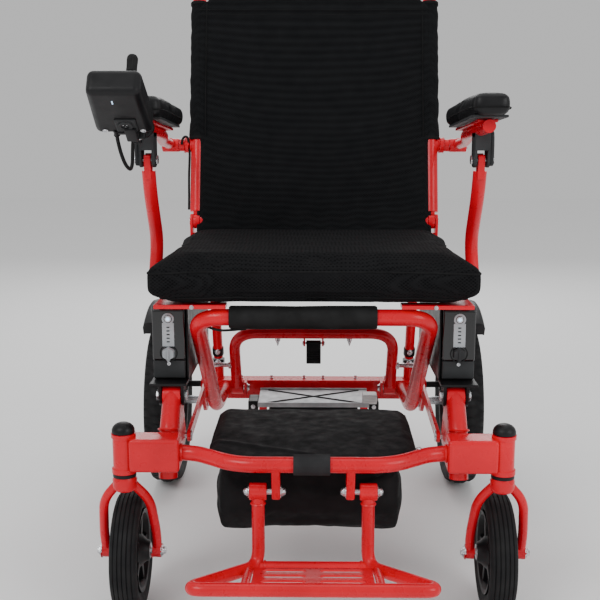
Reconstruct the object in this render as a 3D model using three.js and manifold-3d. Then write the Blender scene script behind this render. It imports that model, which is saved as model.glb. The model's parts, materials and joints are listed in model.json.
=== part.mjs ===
// Power wheelchair with a front-to-back folding tube frame.
// Millimetres, +Y to the chair's rear, +Z up. Seen from the front, +X is to the right, and the
// names left and right are as seen from there too.
// The parts are drawn with Y = 0 on the casters' swivel axes, and the finished group is moved
// so that its origin is at the bottom centre of its box.
import * as THREE from 'three';
import { mergeVertices } from 'three/addons/utils/BufferGeometryUtils.js';
import { RoundedBoxGeometry } from 'three/addons/geometries/RoundedBoxGeometry.js';
import Module from 'manifold-3d';

const wasm = await Module();
wasm.setup();

// Overall layout
const MID_Y = 282;                 // halfway between the footplate's front and the rear tyres' back
const GAP = 0.4;                   // clearance kept between touching pieces
const PIN = 4.2;                   // radius of a small hinge pin
const ROUND = 16;                  // sides of a bore whose pin turns in it
const BORE = PIN + GAP;            // radius of the hole it turns in

// Rear wheels
const WHEEL_X = 281;
const WHEEL_Y = 575;
const WHEEL_R = 159;
const AXLE_R = 8;

// Casters
const CASTER_X = 265;
const CASTER_R = 88;
const CASTER_TRAIL = 38;
const STEM_R = 8.5;

// Frame tubes
const SIDE_X = 168;                // rear frame's side tubes
const SIDE_R = 12;
const CROSS_TUBE = { y: 60, z: 432 };
const BEAM = { y0: 522.4, y1: 558, z0: 176, z1: 212 };
const LEG_X = 206;                 // front legs
const LEG_R = 13.5;
const FOLD_PIVOT = { y: 78, z: 312 };

// Lock hoop and its drag links
const HOOP_X = 143;
const HOOP_R = 10;
const HOOP_PIVOT = { y: 500, z: 205 };
const HOOP_BAR = { y: 430, z: 325 };
const LINK_X = 186.5;
const LINK_HALF = 2.6;             // half the thickness of a drag link
const LINK_FRONT = { y: 110, z: 240 };
const LINK_REAR = { y: 470, z: 256 };

// Seat
const SEAT_SLOPE = 0.0454;         // the seat falls this much towards the back
const SEAT_FRONT = { y: 29, z: 456 };
const CUSHION = { width: 466, depth: 431, height: 62 };
const BAR_THICK = 6;
const BAR_DROP = 3.4;              // the seat cloth lies between the bars and the cushion

// Batteries
const BUTTON_Z = 424;
const KNOB_Z = 373;
const BATTERY = { x: 211, width: 47, y0: 85, y1: 385, z0: 333, height: 110 };

// Backrest and armrests
const BACK_HINGE = { y: 480, z: 520 };
const BACK_LEAN = THREE.MathUtils.degToRad(16);
const BACK_X = 210;
const BACK_R = 12.5;
const HANDLE = { along: 436, grip: 632, end: 704, rise: 0.03 };
const STUB = { y: 518, z: 653 };   // the stub pins that the armrests turn on
const STUB_PIN_R = 8;
const POST_FOOT = { y: 205, z: 465 };
const POST_HEAD = { y: 134, z: 650 };
const ARM_REAR = { y: 285, z: 694 }; // where the bar turns in under the pad
const ARM_TILT = 0.084;            // the armrests rise this much towards the front
const PAD_X = 234;

// Footrest
const FOOT_HINGE = { y: -30, z: 206 };
const FOOT_X = 76;
const FOOT_BACK = { y: -31, z: 97 };
const FOOT_FRONT = { y: -161, z: 125 };

// Joystick
const STICK_BOX = { x: -251, y: -25, z: 733, width: 76, depth: 100, height: 36 };
const STICK_TILT = THREE.MathUtils.degToRad(-33);

const finish = (color, roughness, metalness) =>
  new THREE.MeshStandardMaterial({ color, roughness, metalness });
const RED = finish(0xd3121b, 0.22, 0.35);
const BLACK = finish(0x17181a, 0.45, 0.0);
const GLOSS_BLACK = finish(0x101113, 0.18, 0.0);
const MESH_BLACK = finish(0x1b1c1e, 0.9, 0.0);
const RUBBER = finish(0x1d1e1f, 0.8, 0.0);
const GREY = finish(0x4a4c4e, 0.55, 0.1);
const STEEL = finish(0xc4c6c8, 0.28, 1.0);

const vec = (x, y, z) => new THREE.Vector3(x, y, z);
const seatZ = (y) => SEAT_FRONT.z - SEAT_SLOPE * (y - SEAT_FRONT.y);

// A smooth way through a list of corner points: straight runs joined by round bends.
// Its stations are only where the direction changes, so a straight run is one step long.
class BentPath extends THREE.Curve {
  constructor(corners, bend, bendSteps) {
    super();
    this.stations = [corners[0]];
    for (let i = 1; i < corners.length - 1; i += 1) {
      const before = corners[i - 1].clone().sub(corners[i]);
      const after = corners[i + 1].clone().sub(corners[i]);
      const reach = Math.min(bend, before.length() * 0.48, after.length() * 0.48);
      const start = corners[i].clone().addScaledVector(before.normalize(), reach);
      const end = corners[i].clone().addScaledVector(after.normalize(), reach);
      const arc = new THREE.QuadraticBezierCurve3(start, corners[i], end);
      this.stations.push(...arc.getPoints(bendSteps));
    }
    this.stations.push(corners[corners.length - 1]);
  }

  getPoint(t) {
    const place = THREE.MathUtils.clamp(t, 0, 1) * (this.stations.length - 1);
    const low = Math.min(Math.floor(place), this.stations.length - 2);
    return this.stations[low].clone().lerp(this.stations[low + 1], place - low);
  }

  getPointAt(t) {
    return this.getPoint(t);
  }

  getTangentAt(t) {
    const station = Math.round(t * (this.stations.length - 1));
    const here = this.stations[station];
    const tangent = vec(0, 0, 0);
    if (station > 0) tangent.add(here.clone().sub(this.stations[station - 1]).normalize());
    if (station < this.stations.length - 1) {
      tangent.add(this.stations[station + 1].clone().sub(here).normalize());
    }
    return tangent.normalize();
  }
}

// Turns a closed three.js geometry into a solid, facing outwards.
function solid(source) {
  const loose = source.index ? source.toNonIndexed() : source.clone();
  loose.deleteAttribute('normal');
  loose.deleteAttribute('uv');
  const merged = mergeVertices(loose, 1e-4);
  const points = merged.attributes.position;
  const corners = merged.index.array;
  const faces = [];
  let volume = 0;
  const [a, b, c] = [vec(0, 0, 0), vec(0, 0, 0), vec(0, 0, 0)];
  for (let i = 0; i < corners.length; i += 3) {
    const [p, q, r] = [corners[i], corners[i + 1], corners[i + 2]];
    if (p === q || q === r || r === p) continue;
    faces.push([p, q, r]);
    a.fromBufferAttribute(points, p);
    b.fromBufferAttribute(points, q);
    c.fromBufferAttribute(points, r);
    volume += a.dot(b.cross(c));
  }
  const outward = faces.map(([p, q, r]) => (volume < 0 ? [p, r, q] : [p, q, r]));
  return new wasm.Manifold(new wasm.Mesh({
    numProp: 3,
    vertProperties: new Float32Array(points.array),
    triVerts: new Uint32Array(outward.flat()),
  }));
}

const join = (...solids) => solids.reduce((whole, piece) => whole.add(piece));
const cut = (body, ...tools) => tools.reduce((rest, tool) => rest.subtract(tool), body);

function tube(corners, radius, bend = 40, sides = 8, bendSteps = 3) {
  const path = new BentPath(corners, bend, bendSteps);
  const section = new THREE.Shape(new THREE.EllipseCurve(0, 0, radius, radius).getPoints(sides));
  const steps = path.stations.length - 1;
  return solid(new THREE.ExtrudeGeometry(section, { extrudePath: path, steps }));
}

// A round bar from one point to another.
function rod(from, to, radius, sides = 8, endRadius = radius) {
  const along = to.clone().sub(from);
  const bar = new THREE.CylinderGeometry(endRadius, radius, along.length(), sides);
  bar.applyQuaternion(new THREE.Quaternion().setFromUnitVectors(vec(0, 1, 0), along.normalize()));
  const middle = from.clone().add(to).multiplyScalar(0.5);
  return solid(bar.translate(middle.x, middle.y, middle.z));
}

const rodX = (x0, x1, at, radius, sides = 8) =>
  rod(vec(Math.min(x0, x1), at.y, at.z), vec(Math.max(x0, x1), at.y, at.z), radius, sides);
const rodZ = (x, y, z0, z1, radius, sides = 8, top = radius) =>
  rod(vec(x, y, z0), vec(x, y, z1), radius, sides, top);

function box(x0, x1, y0, y1, z0, z1) {
  const block = new THREE.BoxGeometry(Math.abs(x1 - x0), Math.abs(y1 - y0), Math.abs(z1 - z0));
  return solid(block.translate((x0 + x1) / 2, (y0 + y1) / 2, (z0 + z1) / 2));
}

function softBox(width, depth, height, radius, centre, tilt, segments = 2) {
  const block = new RoundedBoxGeometry(width, depth, height, segments, radius);
  return solid(block.rotateX(tilt).translate(centre.x, centre.y, centre.z));
}

// A flat plate standing across X, its outline given as [y, z] points.
function plateX(outline, x0, x1) {
  const shape = new THREE.Shape(outline.map(([y, z]) => new THREE.Vector2(y, z)));
  const depth = Math.abs(x1 - x0);
  const plate = new THREE.ExtrudeGeometry(shape, { depth, bevelEnabled: false });
  plate.applyMatrix4(new THREE.Matrix4().makeBasis(vec(0, 1, 0), vec(0, 0, 1), vec(1, 0, 0)));
  return solid(plate.translate(Math.min(x0, x1), 0, 0));
}

// A ring or wheel turned about an axis along X. The profile is [radius, x] points.
function turnedX(profile, centreX, at, segments) {
  const points = profile.map(([radius, x]) => new THREE.Vector2(radius, x));
  const closed = [...points, points[0].clone()];
  const wheel = new THREE.LatheGeometry(closed, segments);
  return solid(wheel.rotateZ(-Math.PI / 2).translate(centreX, at.y, at.z));
}

// A bar with round ends between two holes, in a plane across X.
function linkPlate(from, to, halfWidth, x0, x1) {
  const angle = Math.atan2(to.z - from.z, to.y - from.y);
  const outline = [];
  for (const [end, turn] of [[to, -Math.PI / 2], [from, Math.PI / 2]]) {
    for (let i = 0; i <= 6; i += 1) {
      const a = angle + turn + (i * Math.PI) / 6;
      outline.push([end.y + halfWidth * Math.cos(a), end.z + halfWidth * Math.sin(a)]);
    }
  }
  return plateX(outline, x0, x1);
}

const parts = new THREE.Group();

function add(name, shape, material) {
  const mesh = shape.getMesh();
  const geometry = new THREE.BufferGeometry();
  const points = new Float32Array(mesh.vertProperties);
  geometry.setAttribute('position', new THREE.BufferAttribute(points, 3));
  geometry.setIndex(new THREE.BufferAttribute(new Uint32Array(mesh.triVerts), 1));
  geometry.computeVertexNormals();
  const part = new THREE.Mesh(geometry, material);
  part.name = name;
  parts.add(part);
}

const SIDES = [['left', -1], ['right', 1]];

// Rear frame: one tube that runs forward and up from the axle beam, across under the
// front of the seat, and back down on the other side.
function rearFrame() {
  const half = (s) => [
    vec(s * SIDE_X, BEAM.y0 - 1.2, 197),
    vec(s * SIDE_X, 345, 214),
    vec(s * SIDE_X, CROSS_TUBE.y, CROSS_TUBE.z),
  ];
  return tube([...half(-1), ...half(1).reverse()], SIDE_R, 42);
}

// Foam sleeve on the rear frame's cross tube, under the knees.
function frontSleeve() {
  const ring = [[SIDE_R + GAP + 0.4, -105], [16, -105], [16, 105], [SIDE_R + GAP + 0.4, 105]];
  return turnedX(ring, -15, CROSS_TUBE, 16);
}

// Axle beam with its drop plates, wheel axles, hoop lugs and strut feet.
function axleBeam() {
  let beam = box(-214, 214, BEAM.y0, BEAM.y1, BEAM.z0, BEAM.z1);
  const drop = [[522.4, 214], [560, 214], [600, 176], [598, 146], [580, 136], [558, 142],
    [524, 172]];
  for (const s of [-1, 1]) {
    beam = join(
      beam,
      plateX(drop, s * 206, s * 213),
      rodX(s * 200, s * 312, { y: WHEEL_Y, z: WHEEL_R }, AXLE_R, 16),
      rodX(s * 198, s * 206, { y: WHEEL_Y, z: WHEEL_R }, 14, 6),
      rodX(s * 311.4, s * 318, { y: WHEEL_Y, z: WHEEL_R }, 13, 6),
      box(s * 124, s * 129, 486, BEAM.y0 + 1, 192, 218),
      rodX(s * 124, s * 154, HOOP_PIVOT, PIN),
      box(s * 84, s * 98, 425, BEAM.y0 + 1, 184, 191.5),
      rodZ(s * 181, 542, BEAM.z1 - 1, 238, 10),
      box(s * 170, s * 192, 531, 553, 237, 250),
    );
  }
  return beam;
}

// Struts that carry the back of the seat on the axle beam.
const seatStrut = (s) => rod(vec(s * 181, 541, 254), vec(s * 181, 477, 419), 9);

// Seat frame: flat side bars, a rear cross tube, the backrest's lower stumps with their
// hinge ears, and the lugs that the armrest posts turn on.
function seatFrame() {
  const bar = (y0, y1, x0, x1) => plateX([
    [y0, seatZ(y0) - BAR_DROP - BAR_THICK],
    [y1, seatZ(y1) - BAR_DROP - BAR_THICK],
    [y1, seatZ(y1) - BAR_DROP],
    [y0, seatZ(y0) - BAR_DROP],
  ], x0, x1);
  let frame = rodX(-224, 224, { y: 450, z: 419 }, 10);
  for (const s of [-1, 1]) {
    const ear = [[468, 492], [492, 492], [494, 522], [488, 532], [474, 533], [466, 524]];
    frame = join(
      frame,
      bar(48, 490, s * 180, s * 226),
      bar(48, 78, s * 124, s * 182),
      tube([vec(s * BACK_X, 452, 421), vec(s * BACK_X, 479, 432), vec(s * BACK_X, 480, 500)],
        10.5, 20),
      plateX(ear, s * 198.5, s * 203.4),
      plateX(ear, s * 216.6, s * 221.5),
      rodX(s * 197, s * 223, BACK_HINGE, PIN),
      box(s * 199, s * 221, 472, 488, 486, 500),
      box(s * 225, s * 239, 192, 218, 438.6, 443),
      plateX([[192, 438.6], [218, 438.6], [216, 474], [205, 479], [194, 474]], s * 234.6, s * 239.4),
      rodX(s * 236, s * 256, POST_FOOT, PIN),
    );
  }
  return frame;
}

// Seat cloth stretched between the side bars.
function seatCloth() {
  const top = (y) => seatZ(y) - 0.6;
  const outline = [[84, top(84) - 2.4], [436, top(436) - 2.4], [436, top(436)], [84, top(84)]];
  return plateX(outline, -178, 178);
}

function seatCushion() {
  const middle = SEAT_FRONT.y + CUSHION.depth / 2;
  const centre = vec(0, middle, seatZ(middle) + CUSHION.height / 2 + 0.2);
  return softBox(CUSHION.width, CUSHION.depth, CUSHION.height, 22, centre,
    -Math.atan(SEAT_SLOPE), 2);
}

// Motor controller with its ribbed lid, hung in front of the axle beam.
function motorController() {
  const ribs = [-1, 1].map((s) => rod(vec(-84, 463 - s * 42, 198), vec(84, 463 + s * 42, 198), 2, 6));
  return join(
    box(-80, 80, 418, 508, 154, 193),
    box(-100, 100, 414, 512, 192, 198),
    box(-100, 100, 414, 417, 198, 201),
    box(-100, 100, 509, 512, 198, 201),
    ...ribs,
  );
}

// Mudguard over a rear wheel, with its stay. The angles are measured from straight back.
function fender(s) {
  const shell = [[168, -34], [190, -34], [196, -28], [196, 28], [190, 34], [168, 34], [168, 31],
    [188.5, 31], [193, 26.5], [193, -26.5], [188.5, -31], [168, -31]];
  const block = [[168, -33], [194, -31], [194, 31], [168, 33]];
  const centre = { y: WHEEL_Y, z: WHEEL_R };
  const sector = (from, to) => plateX([
    [centre.y, centre.z],
    ...[from, (from + to) / 2, to].map((degrees) => {
      const a = THREE.MathUtils.degToRad(degrees);
      return [centre.y + 260 * Math.cos(a), centre.z + 260 * Math.sin(a)];
    }),
  ], s * (WHEEL_X - 40), s * (WHEEL_X + 40));
  const guard = turnedX(shell, s * WHEEL_X, centre, 28).intersect(sector(45, 118));
  const nose = turnedX(block, s * WHEEL_X, centre, 28).intersect(sector(114.5, 118));
  const stay = plateX([[553, 186], [569, 186], [569, 336], [553, 336]], s * 242, s * 247.4);
  return join(guard, nose, stay, rodX(s * 214.4, s * 243, { y: 561, z: 195 }, 6));
}

// Hub motor and rim in one wheel body, turning on the fixed axle.
function hubMotor(s) {
  const profile = [[AXLE_R + GAP, -25], [34, -25], [38, -19], [82, -17], [88, -9], [104, -9],
    [108, -23], [117.6, -23], [117.6, 23], [108, 23], [104, 9], [88, 9], [82, 20], [38, 23],
    [34, 29], [AXLE_R + GAP, 29]];
  const turned = profile.map(([r, x]) => [r, s * x]);
  return turnedX(turned, s * WHEEL_X, { y: WHEEL_Y, z: WHEEL_R }, 20);
}

function tyre(radius, bead, half, x, at, segments) {
  const tread = [[0.97, 0.45], [1, 0]];
  const wall = [[bead, 0.8], [0.84, 1], [0.92, 0.88]];
  const rise = [...wall, ...tread];
  const fall = rise.slice(0, -1).reverse().map(([r, w]) => [r, -w]);
  const profile = [...rise, ...fall].map(([r, w]) => [r * radius, w * half]);
  return turnedX(profile, x, at, segments);
}

// Battery pack, sloping with the seat so that it slides straight out at the front.
function batteryPack(s) {
  const { x, width, y0, y1, z0, height } = BATTERY;
  const drop = (y) => SEAT_SLOPE * (y - y0);
  const outline = [[y0 + 3, z0], [y1, z0 - drop(y1)], [y1, z0 + height - drop(y1)],
    [y0 + 6, z0 + height], [y0, z0 + height - 6], [y0, z0 + 3]];
  const recess = rod(vec(s * x, y0 - 2, BUTTON_Z), vec(s * x, y0 + 4.4, BUTTON_Z), 5.4, 12);
  return cut(plateX(outline, s * (x - width / 2), s * (x + width / 2)), recess);
}

// Battery tray: inner wall and floor, with the clevis ears and bolt of the fold pivot.
function batteryTray(s) {
  const { y0, y1, z0 } = BATTERY;
  const floor = (y) => z0 - 1 - SEAT_SLOPE * (y - y0);
  const bars = (y) => seatZ(y) - BAR_DROP - BAR_THICK - GAP;
  const ear = [[64, 306], [72, 298], [86, 298], [94, 308], [100, floor(100) - 1],
    [62, floor(62) - 1]];
  return join(
    plateX([[62, floor(62) - 4], [y1 + 4, floor(y1) - 4], [y1 + 4, floor(y1)],
      [62, floor(62)]], s * 183.5, s * 237),
    plateX([[98, floor(98) - 4], [y1 + 4, floor(y1) - 4], [y1 + 4, bars(y1 + 4)],
      [98, bars(98)]], s * 183.5, s * 186.6),
    plateX(ear, s * 187.5, s * 191.8),
    plateX(ear, s * 220.2, s * 224.5),
    rodX(s * 184, s * 229, FOLD_PIVOT, 4.8),
    rodX(s * 183.6, s * 188, FOLD_PIVOT, 8, 6),
    rodX(s * 224, s * 228.5, FOLD_PIVOT, 8, 6),
  );
}

// Front face of the battery: a hexagonal latch knob and a round power button.
function batteryKnob(s) {
  const y = BATTERY.y0 - GAP;
  const knob = rod(vec(s * BATTERY.x, y, KNOB_Z), vec(s * BATTERY.x, y - 8, KNOB_Z), 10.5, 6, 9);
  const bar = box(s * BATTERY.x - 1.5, s * BATTERY.x + 1.5, y - 10, y - 7, KNOB_Z - 7, KNOB_Z + 7);
  return join(knob, bar);
}

const batteryButton = (s) => rod(vec(s * BATTERY.x, BATTERY.y0 + 1.8, BUTTON_Z),
  vec(s * BATTERY.x, BATTERY.y0 - 1.6, BUTTON_Z), 5, 12);

// Front frame: caster head tubes, box arms, legs up to the fold pivot, gussets for the drag
// links, the bowed front tube and the footrest's hinge brackets with their bolts.
function frontFrame() {
  const side = (s) => [
    vec(s * 184, 4, 250), vec(s * 160, -2, 250), vec(s * 106, -45, 250),
  ];
  let frame = tube([...side(-1), ...side(1).reverse()], 11, 30);
  const gusset = [[24, 236], [44, 268], [76, 322], [88, 318], [120, 244], [114, 231], [100, 229],
    [60, 240]];
  const bracket = [[-57, 252], [-34, 252], [-19, 208], [-23, 196], [-37, 196], [-42, 208]];
  for (const s of [-1, 1]) {
    frame = join(
      frame,
      cut(join(
        tube([vec(s * LEG_X, 17, 208), vec(s * LEG_X, 26, 262), vec(s * LEG_X, 78, 314)],
          LEG_R, 34, 10),
        plateX(gusset, s * 192.6, s * 198),
        rodX(s * 192.6, s * 219.4, FOLD_PIVOT, 15, 14),
      ), rodX(s * 190, s * 222, FOLD_PIVOT, 5.3)),
      box(s * 186, s * 256, -19, 21, 227, 275),
      rodX(s * 182, s * 196, LINK_FRONT, PIN),
      rodX(s * 181.4, s * 183.4, LINK_FRONT, 7),
      plateX(bracket, s * 45, s * 57),
      rodX(s * 38, s * 94, FOOT_HINGE, PIN),
      rodX(s * 38, s * 46, FOOT_HINGE, 7, 6),
      rodX(s * 88.6, s * 95, FOOT_HINGE, 7, 6),
      rodZ(s * CASTER_X, 0, 222, 280, 15.5, 12),
    );
    frame = cut(frame, rodZ(s * CASTER_X, 0, 220, 282, STEM_R + GAP, ROUND));
  }
  return frame;
}

// Fork with its stem, two bowed legs and the wheel bolt.
function casterFork(s) {
  const x = s * CASTER_X;
  const axle = { y: CASTER_TRAIL, z: CASTER_R };
  let fork = join(
    rodZ(x, 0, 200, 277, STEM_R),
    rodZ(x, 0, 196, 221.6, 17, 14),
    rodX(x - 50, x + 50, axle, 5),
    rodX(x - 49, x - 43, axle, 8, 6),
    rodX(x + 43, x + 49, axle, 8, 6),
  );
  for (const side of [-1, 1]) {
    fork = join(
      fork,
      tube([vec(x + side * 8, 2, 207), vec(x + side * 33, 10, 178), vec(x + side * 38, 30, 118),
        vec(x + side * 37, CASTER_TRAIL, CASTER_R)], 6.8, 24, 8),
      rodX(x + side * 30.6, x + side * 43.4, axle, 10),
    );
  }
  return fork;
}

function casterHub(s) {
  const profile = [[5.4, -27], [14, -27], [17, -20], [50, -8], [54, -18], [60, -18], [60, 18],
    [54, 18], [50, 8], [17, 20], [14, 27], [5.4, 27]];
  return turnedX(profile, s * CASTER_X, { y: CASTER_TRAIL, z: CASTER_R }, 16);
}

// Footrest: two down tubes that spread into the outline of the foot platform.
function footrestFrame() {
  const half = (s) => [
    vec(s * FOOT_X, FOOT_HINGE.y, FOOT_HINGE.z - 4),
    vec(s * FOOT_X, FOOT_BACK.y, FOOT_BACK.z),
    vec(s * 164, FOOT_FRONT.y, FOOT_FRONT.z),
  ];
  let frame = join(
    tube([...half(-1), ...half(1).reverse()], 9, 26),
    rodX(-FOOT_X, FOOT_X, { y: FOOT_BACK.y - 6, z: FOOT_BACK.z + 2 }, 7),
  );
  for (const s of [-1, 1]) {
    frame = join(
      frame,
      rod(vec(s * 88, -50, 101.3), vec(s * 88, FOOT_FRONT.y, FOOT_FRONT.z), 6, 10),
      cut(rodX(s * 64, s * 88, FOOT_HINGE, 12, 16), rodX(s * 60, s * 92, FOOT_HINGE, BORE)),
    );
    frame = cut(frame, rodX(s * 60, s * 92, FOOT_HINGE, BORE));
  }
  return frame;
}

// Foot platform: a plate with two columns of three slots, tilted up at the front.
function footplate() {
  const tilt = -Math.atan2(FOOT_FRONT.z - FOOT_BACK.z, FOOT_BACK.y - FOOT_FRONT.y);
  const outline = new THREE.Shape([[-80, -50], [80, -50], [80, 44], [-80, 44]]
    .map(([x, y]) => new THREE.Vector2(x, y)));
  for (const column of [-39, 39]) {
    for (const row of [-33, -3, 27]) {
      const slot = new THREE.Path();
      slot.absarc(column - 22, row, 8, Math.PI / 2, Math.PI * 1.5);
      slot.absarc(column + 22, row, 8, -Math.PI / 2, Math.PI / 2);
      outline.holes.push(slot);
    }
  }
  const options = { depth: 3, bevelEnabled: false, curveSegments: 4 };
  const plate = new THREE.ExtrudeGeometry(outline, options).translate(0, 0, -1.5);
  return solid(plate.rotateX(tilt).translate(0, -96, 112));
}

// Cloth bag under the seat with its top flap and the strap that holds it to the front tube.
function bag() {
  const body = [[2, 232], [8, 160], [16, 128], [30, 122], [196, 124], [216, 138], [222, 232]];
  const strap = turnedX([[11.5, -25], [14, -25], [14, 25], [11.5, 25]], -2, { y: -45, z: 250 }, 16);
  return join(
    plateX(body, -138, 126),
    plateX([[12, 228], [234, 228], [236, 240], [12, 246]], -150, 148),
    plateX([[-28, 236], [14, 229], [14, 246], [-8, 247]], -88, 84),
    strap,
    plateX([[-46, 236.4], [-20, 236.4], [-20, 240], [-46, 238.6]], -27, 23),
  );
}

// Lock hoop: stands on the axle beam, with its hanging screws and latch brackets.
function lockHoop() {
  const half = (s) => [
    vec(s * HOOP_X, HOOP_PIVOT.y, HOOP_PIVOT.z),
    vec(s * HOOP_X, HOOP_BAR.y, HOOP_BAR.z),
  ];
  let hoop = tube([...half(-1), ...half(1).reverse()], HOOP_R, 44);
  for (const s of [-1, 1]) {
    hoop = join(
      hoop,
      rodX(s * 131, s * 153.4, HOOP_PIVOT, 12, 14),
      rodX(s * HOOP_X, s * (LINK_X - LINK_HALF - GAP), LINK_REAR, PIN),
      rodX(s * 150, s * 156, LINK_REAR, 7),
      rodZ(s * 64, HOOP_BAR.y, 302, 320, 1, 8, 4),
      box(s * 15, s * 18, 424, 436, 302, 322),
    );
    hoop = cut(hoop, rodX(s * 128, s * 156, HOOP_PIVOT, BORE));
  }
  return join(hoop, rodX(-17, 17, { y: 430, z: 307 }, 2, 8));
}

// Release tongue of the fold lock, hinged under the hoop's bar.
function latchTongue() {
  const outline = [[426, 272], [428, 269], [433, 269], [435, 272], [435, 309], [432, 312],
    [428, 312], [425, 309]];
  return cut(plateX(outline, -13, 13), rodX(-15, 15, { y: 430, z: 307 }, 2.5, 8));
}

// Drag link, bored for the front pin. Its rear bolt is fixed in it and meets the hoop's boss.
function dragLink(s) {
  const bar = linkPlate(LINK_FRONT, LINK_REAR, 9, s * (LINK_X - LINK_HALF),
    s * (LINK_X + LINK_HALF));
  const head = rodX(s * LINK_X, s * (LINK_X + 6.5), LINK_REAR, 7);
  return join(cut(bar, rodX(s * (LINK_X - 5), s * (LINK_X + 5), LINK_FRONT, BORE)), head);
}

// A point on the axis of a push handle, which runs back from the top of the backrest tube.
function handleAt(s, y) {
  const bendY = BACK_HINGE.y + HANDLE.along * Math.sin(BACK_LEAN);
  const bendZ = BACK_HINGE.z + HANDLE.along * Math.cos(BACK_LEAN);
  return vec(s * BACK_X, y, bendZ + HANDLE.rise * (y - bendY));
}

// Backrest frame: two leaning tubes that turn back into push handles, a bowed cross bar
// behind the cloth, and the stubs that carry the armrests.
function backrestFrame() {
  const [rise, back] = [Math.cos(BACK_LEAN), Math.sin(BACK_LEAN)];
  const on = (s, along) => vec(s * BACK_X, BACK_HINGE.y + along * back, BACK_HINGE.z + along * rise);
  const bar = (s) => [on(s, 205).add(vec(0, 9, 0)), on(s, 205).add(vec(-s * 38, 30, 0))];
  let frame = tube([...bar(-1), ...bar(1).reverse()], 8, 24);
  for (const s of [-1, 1]) {
    frame = join(
      frame,
      tube([on(s, 4), on(s, HANDLE.along), handleAt(s, HANDLE.end)], BACK_R, 46),
      rodX(s * 204, s * 216, BACK_HINGE, 13.5, 14),
      rodX(s * BACK_X, s * 243, STUB, 11, 14),
      rodX(s * 226, s * 233, STUB, 13.5, 14),
      rodX(s * 240, s * 277, STUB, STUB_PIN_R, ROUND),
    );
    frame = cut(frame, rodX(s * 196, s * 225, BACK_HINGE, BORE));
    for (const ear of [[198, 203.9], [216.1, 222]]) {
      frame = cut(frame, rodX(s * ear[0], s * ear[1], BACK_HINGE, 16, 16));
    }
  }
  return frame;
}

// Backrest cloth between the leaning tubes, with a short flap below the hinge.
function backrestCloth() {
  const [rise, back] = [Math.cos(BACK_LEAN), Math.sin(BACK_LEAN)];
  const at = (along, across) => [
    BACK_HINGE.y + along * back + across * rise,
    BACK_HINGE.z + along * rise - across * back,
  ];
  return plateX([at(-20, -7), at(400, -7), at(400, 1), at(-20, 1)], -196.6, 196.6);
}

function handleGrip(s) {
  const grip = rod(handleAt(s, HANDLE.grip + 8), handleAt(s, HANDLE.end + 12), 17, 12);
  const bore = rod(handleAt(s, HANDLE.grip - 12), handleAt(s, HANDLE.end + 2), BACK_R + 1.6, 8);
  return cut(grip, bore);
}

const armRise = (y) => ARM_REAR.z + ARM_TILT * (ARM_REAR.y - y);

// Armrest bar: the sleeve that turns on the backrest's stub, the pad plate and the clevis
// that drops over the post. The left bar runs further, to carry the joystick box.
function armrestBar(s) {
  const front = s < 0 ? 23 : 36;
  const path = [vec(s * 260, STUB.y - 2, STUB.z + 2), vec(s * 258, 400, armRise(400) - 18),
    vec(s * 240, 285, armRise(285) - 14), vec(s * 236, front, armRise(front) - 14)];
  const plate = [[50, armRise(50) - 8], [275, armRise(275) - 8], [275, armRise(275) - 4],
    [50, armRise(50) - 4]];
  const ear = [[118, 644], [126, 639], [142, 639], [150, 644], [150, 690], [118, 694]];
  const bar = join(
    tube(path, 9, 40),
    plateX(plate, s * 222, s * 250),
    rodX(s * 243.6, s * 274, STUB, 12, ROUND),
    plateX(ear, s * 229.6, s * 233.6),
    plateX(ear, s * 248.4, s * 252.4),
    box(s * 229.6, s * 252.4, 120, 148, 682, 694),
  );
  return cut(
    bar,
    rodX(s * 240, s * 280, STUB, STUB_PIN_R + GAP, ROUND),
    rodX(s * 226, s * 256, POST_HEAD, BORE),
  );
}

function armrestPad(s) {
  const front = s < 0 ? 44 : 0;
  const rear = 282;
  const middle = (front + rear) / 2;
  const z = armRise(middle) + 13.5;
  return softBox(62, rear - front, 33, 14, vec(s * PAD_X, middle, z), -Math.atan(ARM_TILT), 2);
}

// Curved post from the seat to the armrest. Its flat head has an open notch, so the
// armrest's pin can lift out.
function armrestPost(s) {
  const curve = [vec(s * 246, POST_FOOT.y, POST_FOOT.z), vec(s * 242, 212, 520),
    vec(s * 241, 150, 598), vec(s * 241, POST_HEAD.y, POST_HEAD.z - 10)];
  const post = join(
    cut(tube(curve, 10, 44), box(s * 230, s * 252, 110, 160, 634, 670)),
    rodX(s * 236, s * 246, POST_HEAD, 11, 14),
    box(s * 236, s * 246, 126, 144, 622, 648),
    rodX(s * 240.4, s * 251.6, POST_FOOT, 12, 14),
  );
  const notch = plateX([[129.4, 650], [138.6, 650], [141, 668], [123, 668]], s * 232, s * 250);
  return cut(post, notch, rodX(s * 230, s * 252, POST_HEAD, BORE),
    rodX(s * 238, s * 256, POST_FOOT, BORE), box(s * 230, s * 240, 190, 222, 440, 481));
}

// Release lever: a pin through the clevis with a wing on its outer end.
function wingLever(s) {
  return join(
    rodX(s * 227, s * 258, POST_HEAD, PIN - 0.2),
    rodX(s * 226, s * 229, POST_HEAD, 7, 6),
    plateX([[127, 644], [134, 641], [141, 644], [142, 684], [134, 692], [126, 684]],
      s * 253, s * 259),
  );
}

// The joystick box and what is on it are drawn flat around their own centre and then
// tilted up at the front.
function onStickBox(shape) {
  const { x, y, z } = STICK_BOX;
  return shape.rotate([THREE.MathUtils.radToDeg(STICK_TILT), 0, 0]).translate([x, y, z]);
}

const STICK_TOP = STICK_BOX.height / 2;
const STICK_SPOT = { x: 10, y: 12 };

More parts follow.
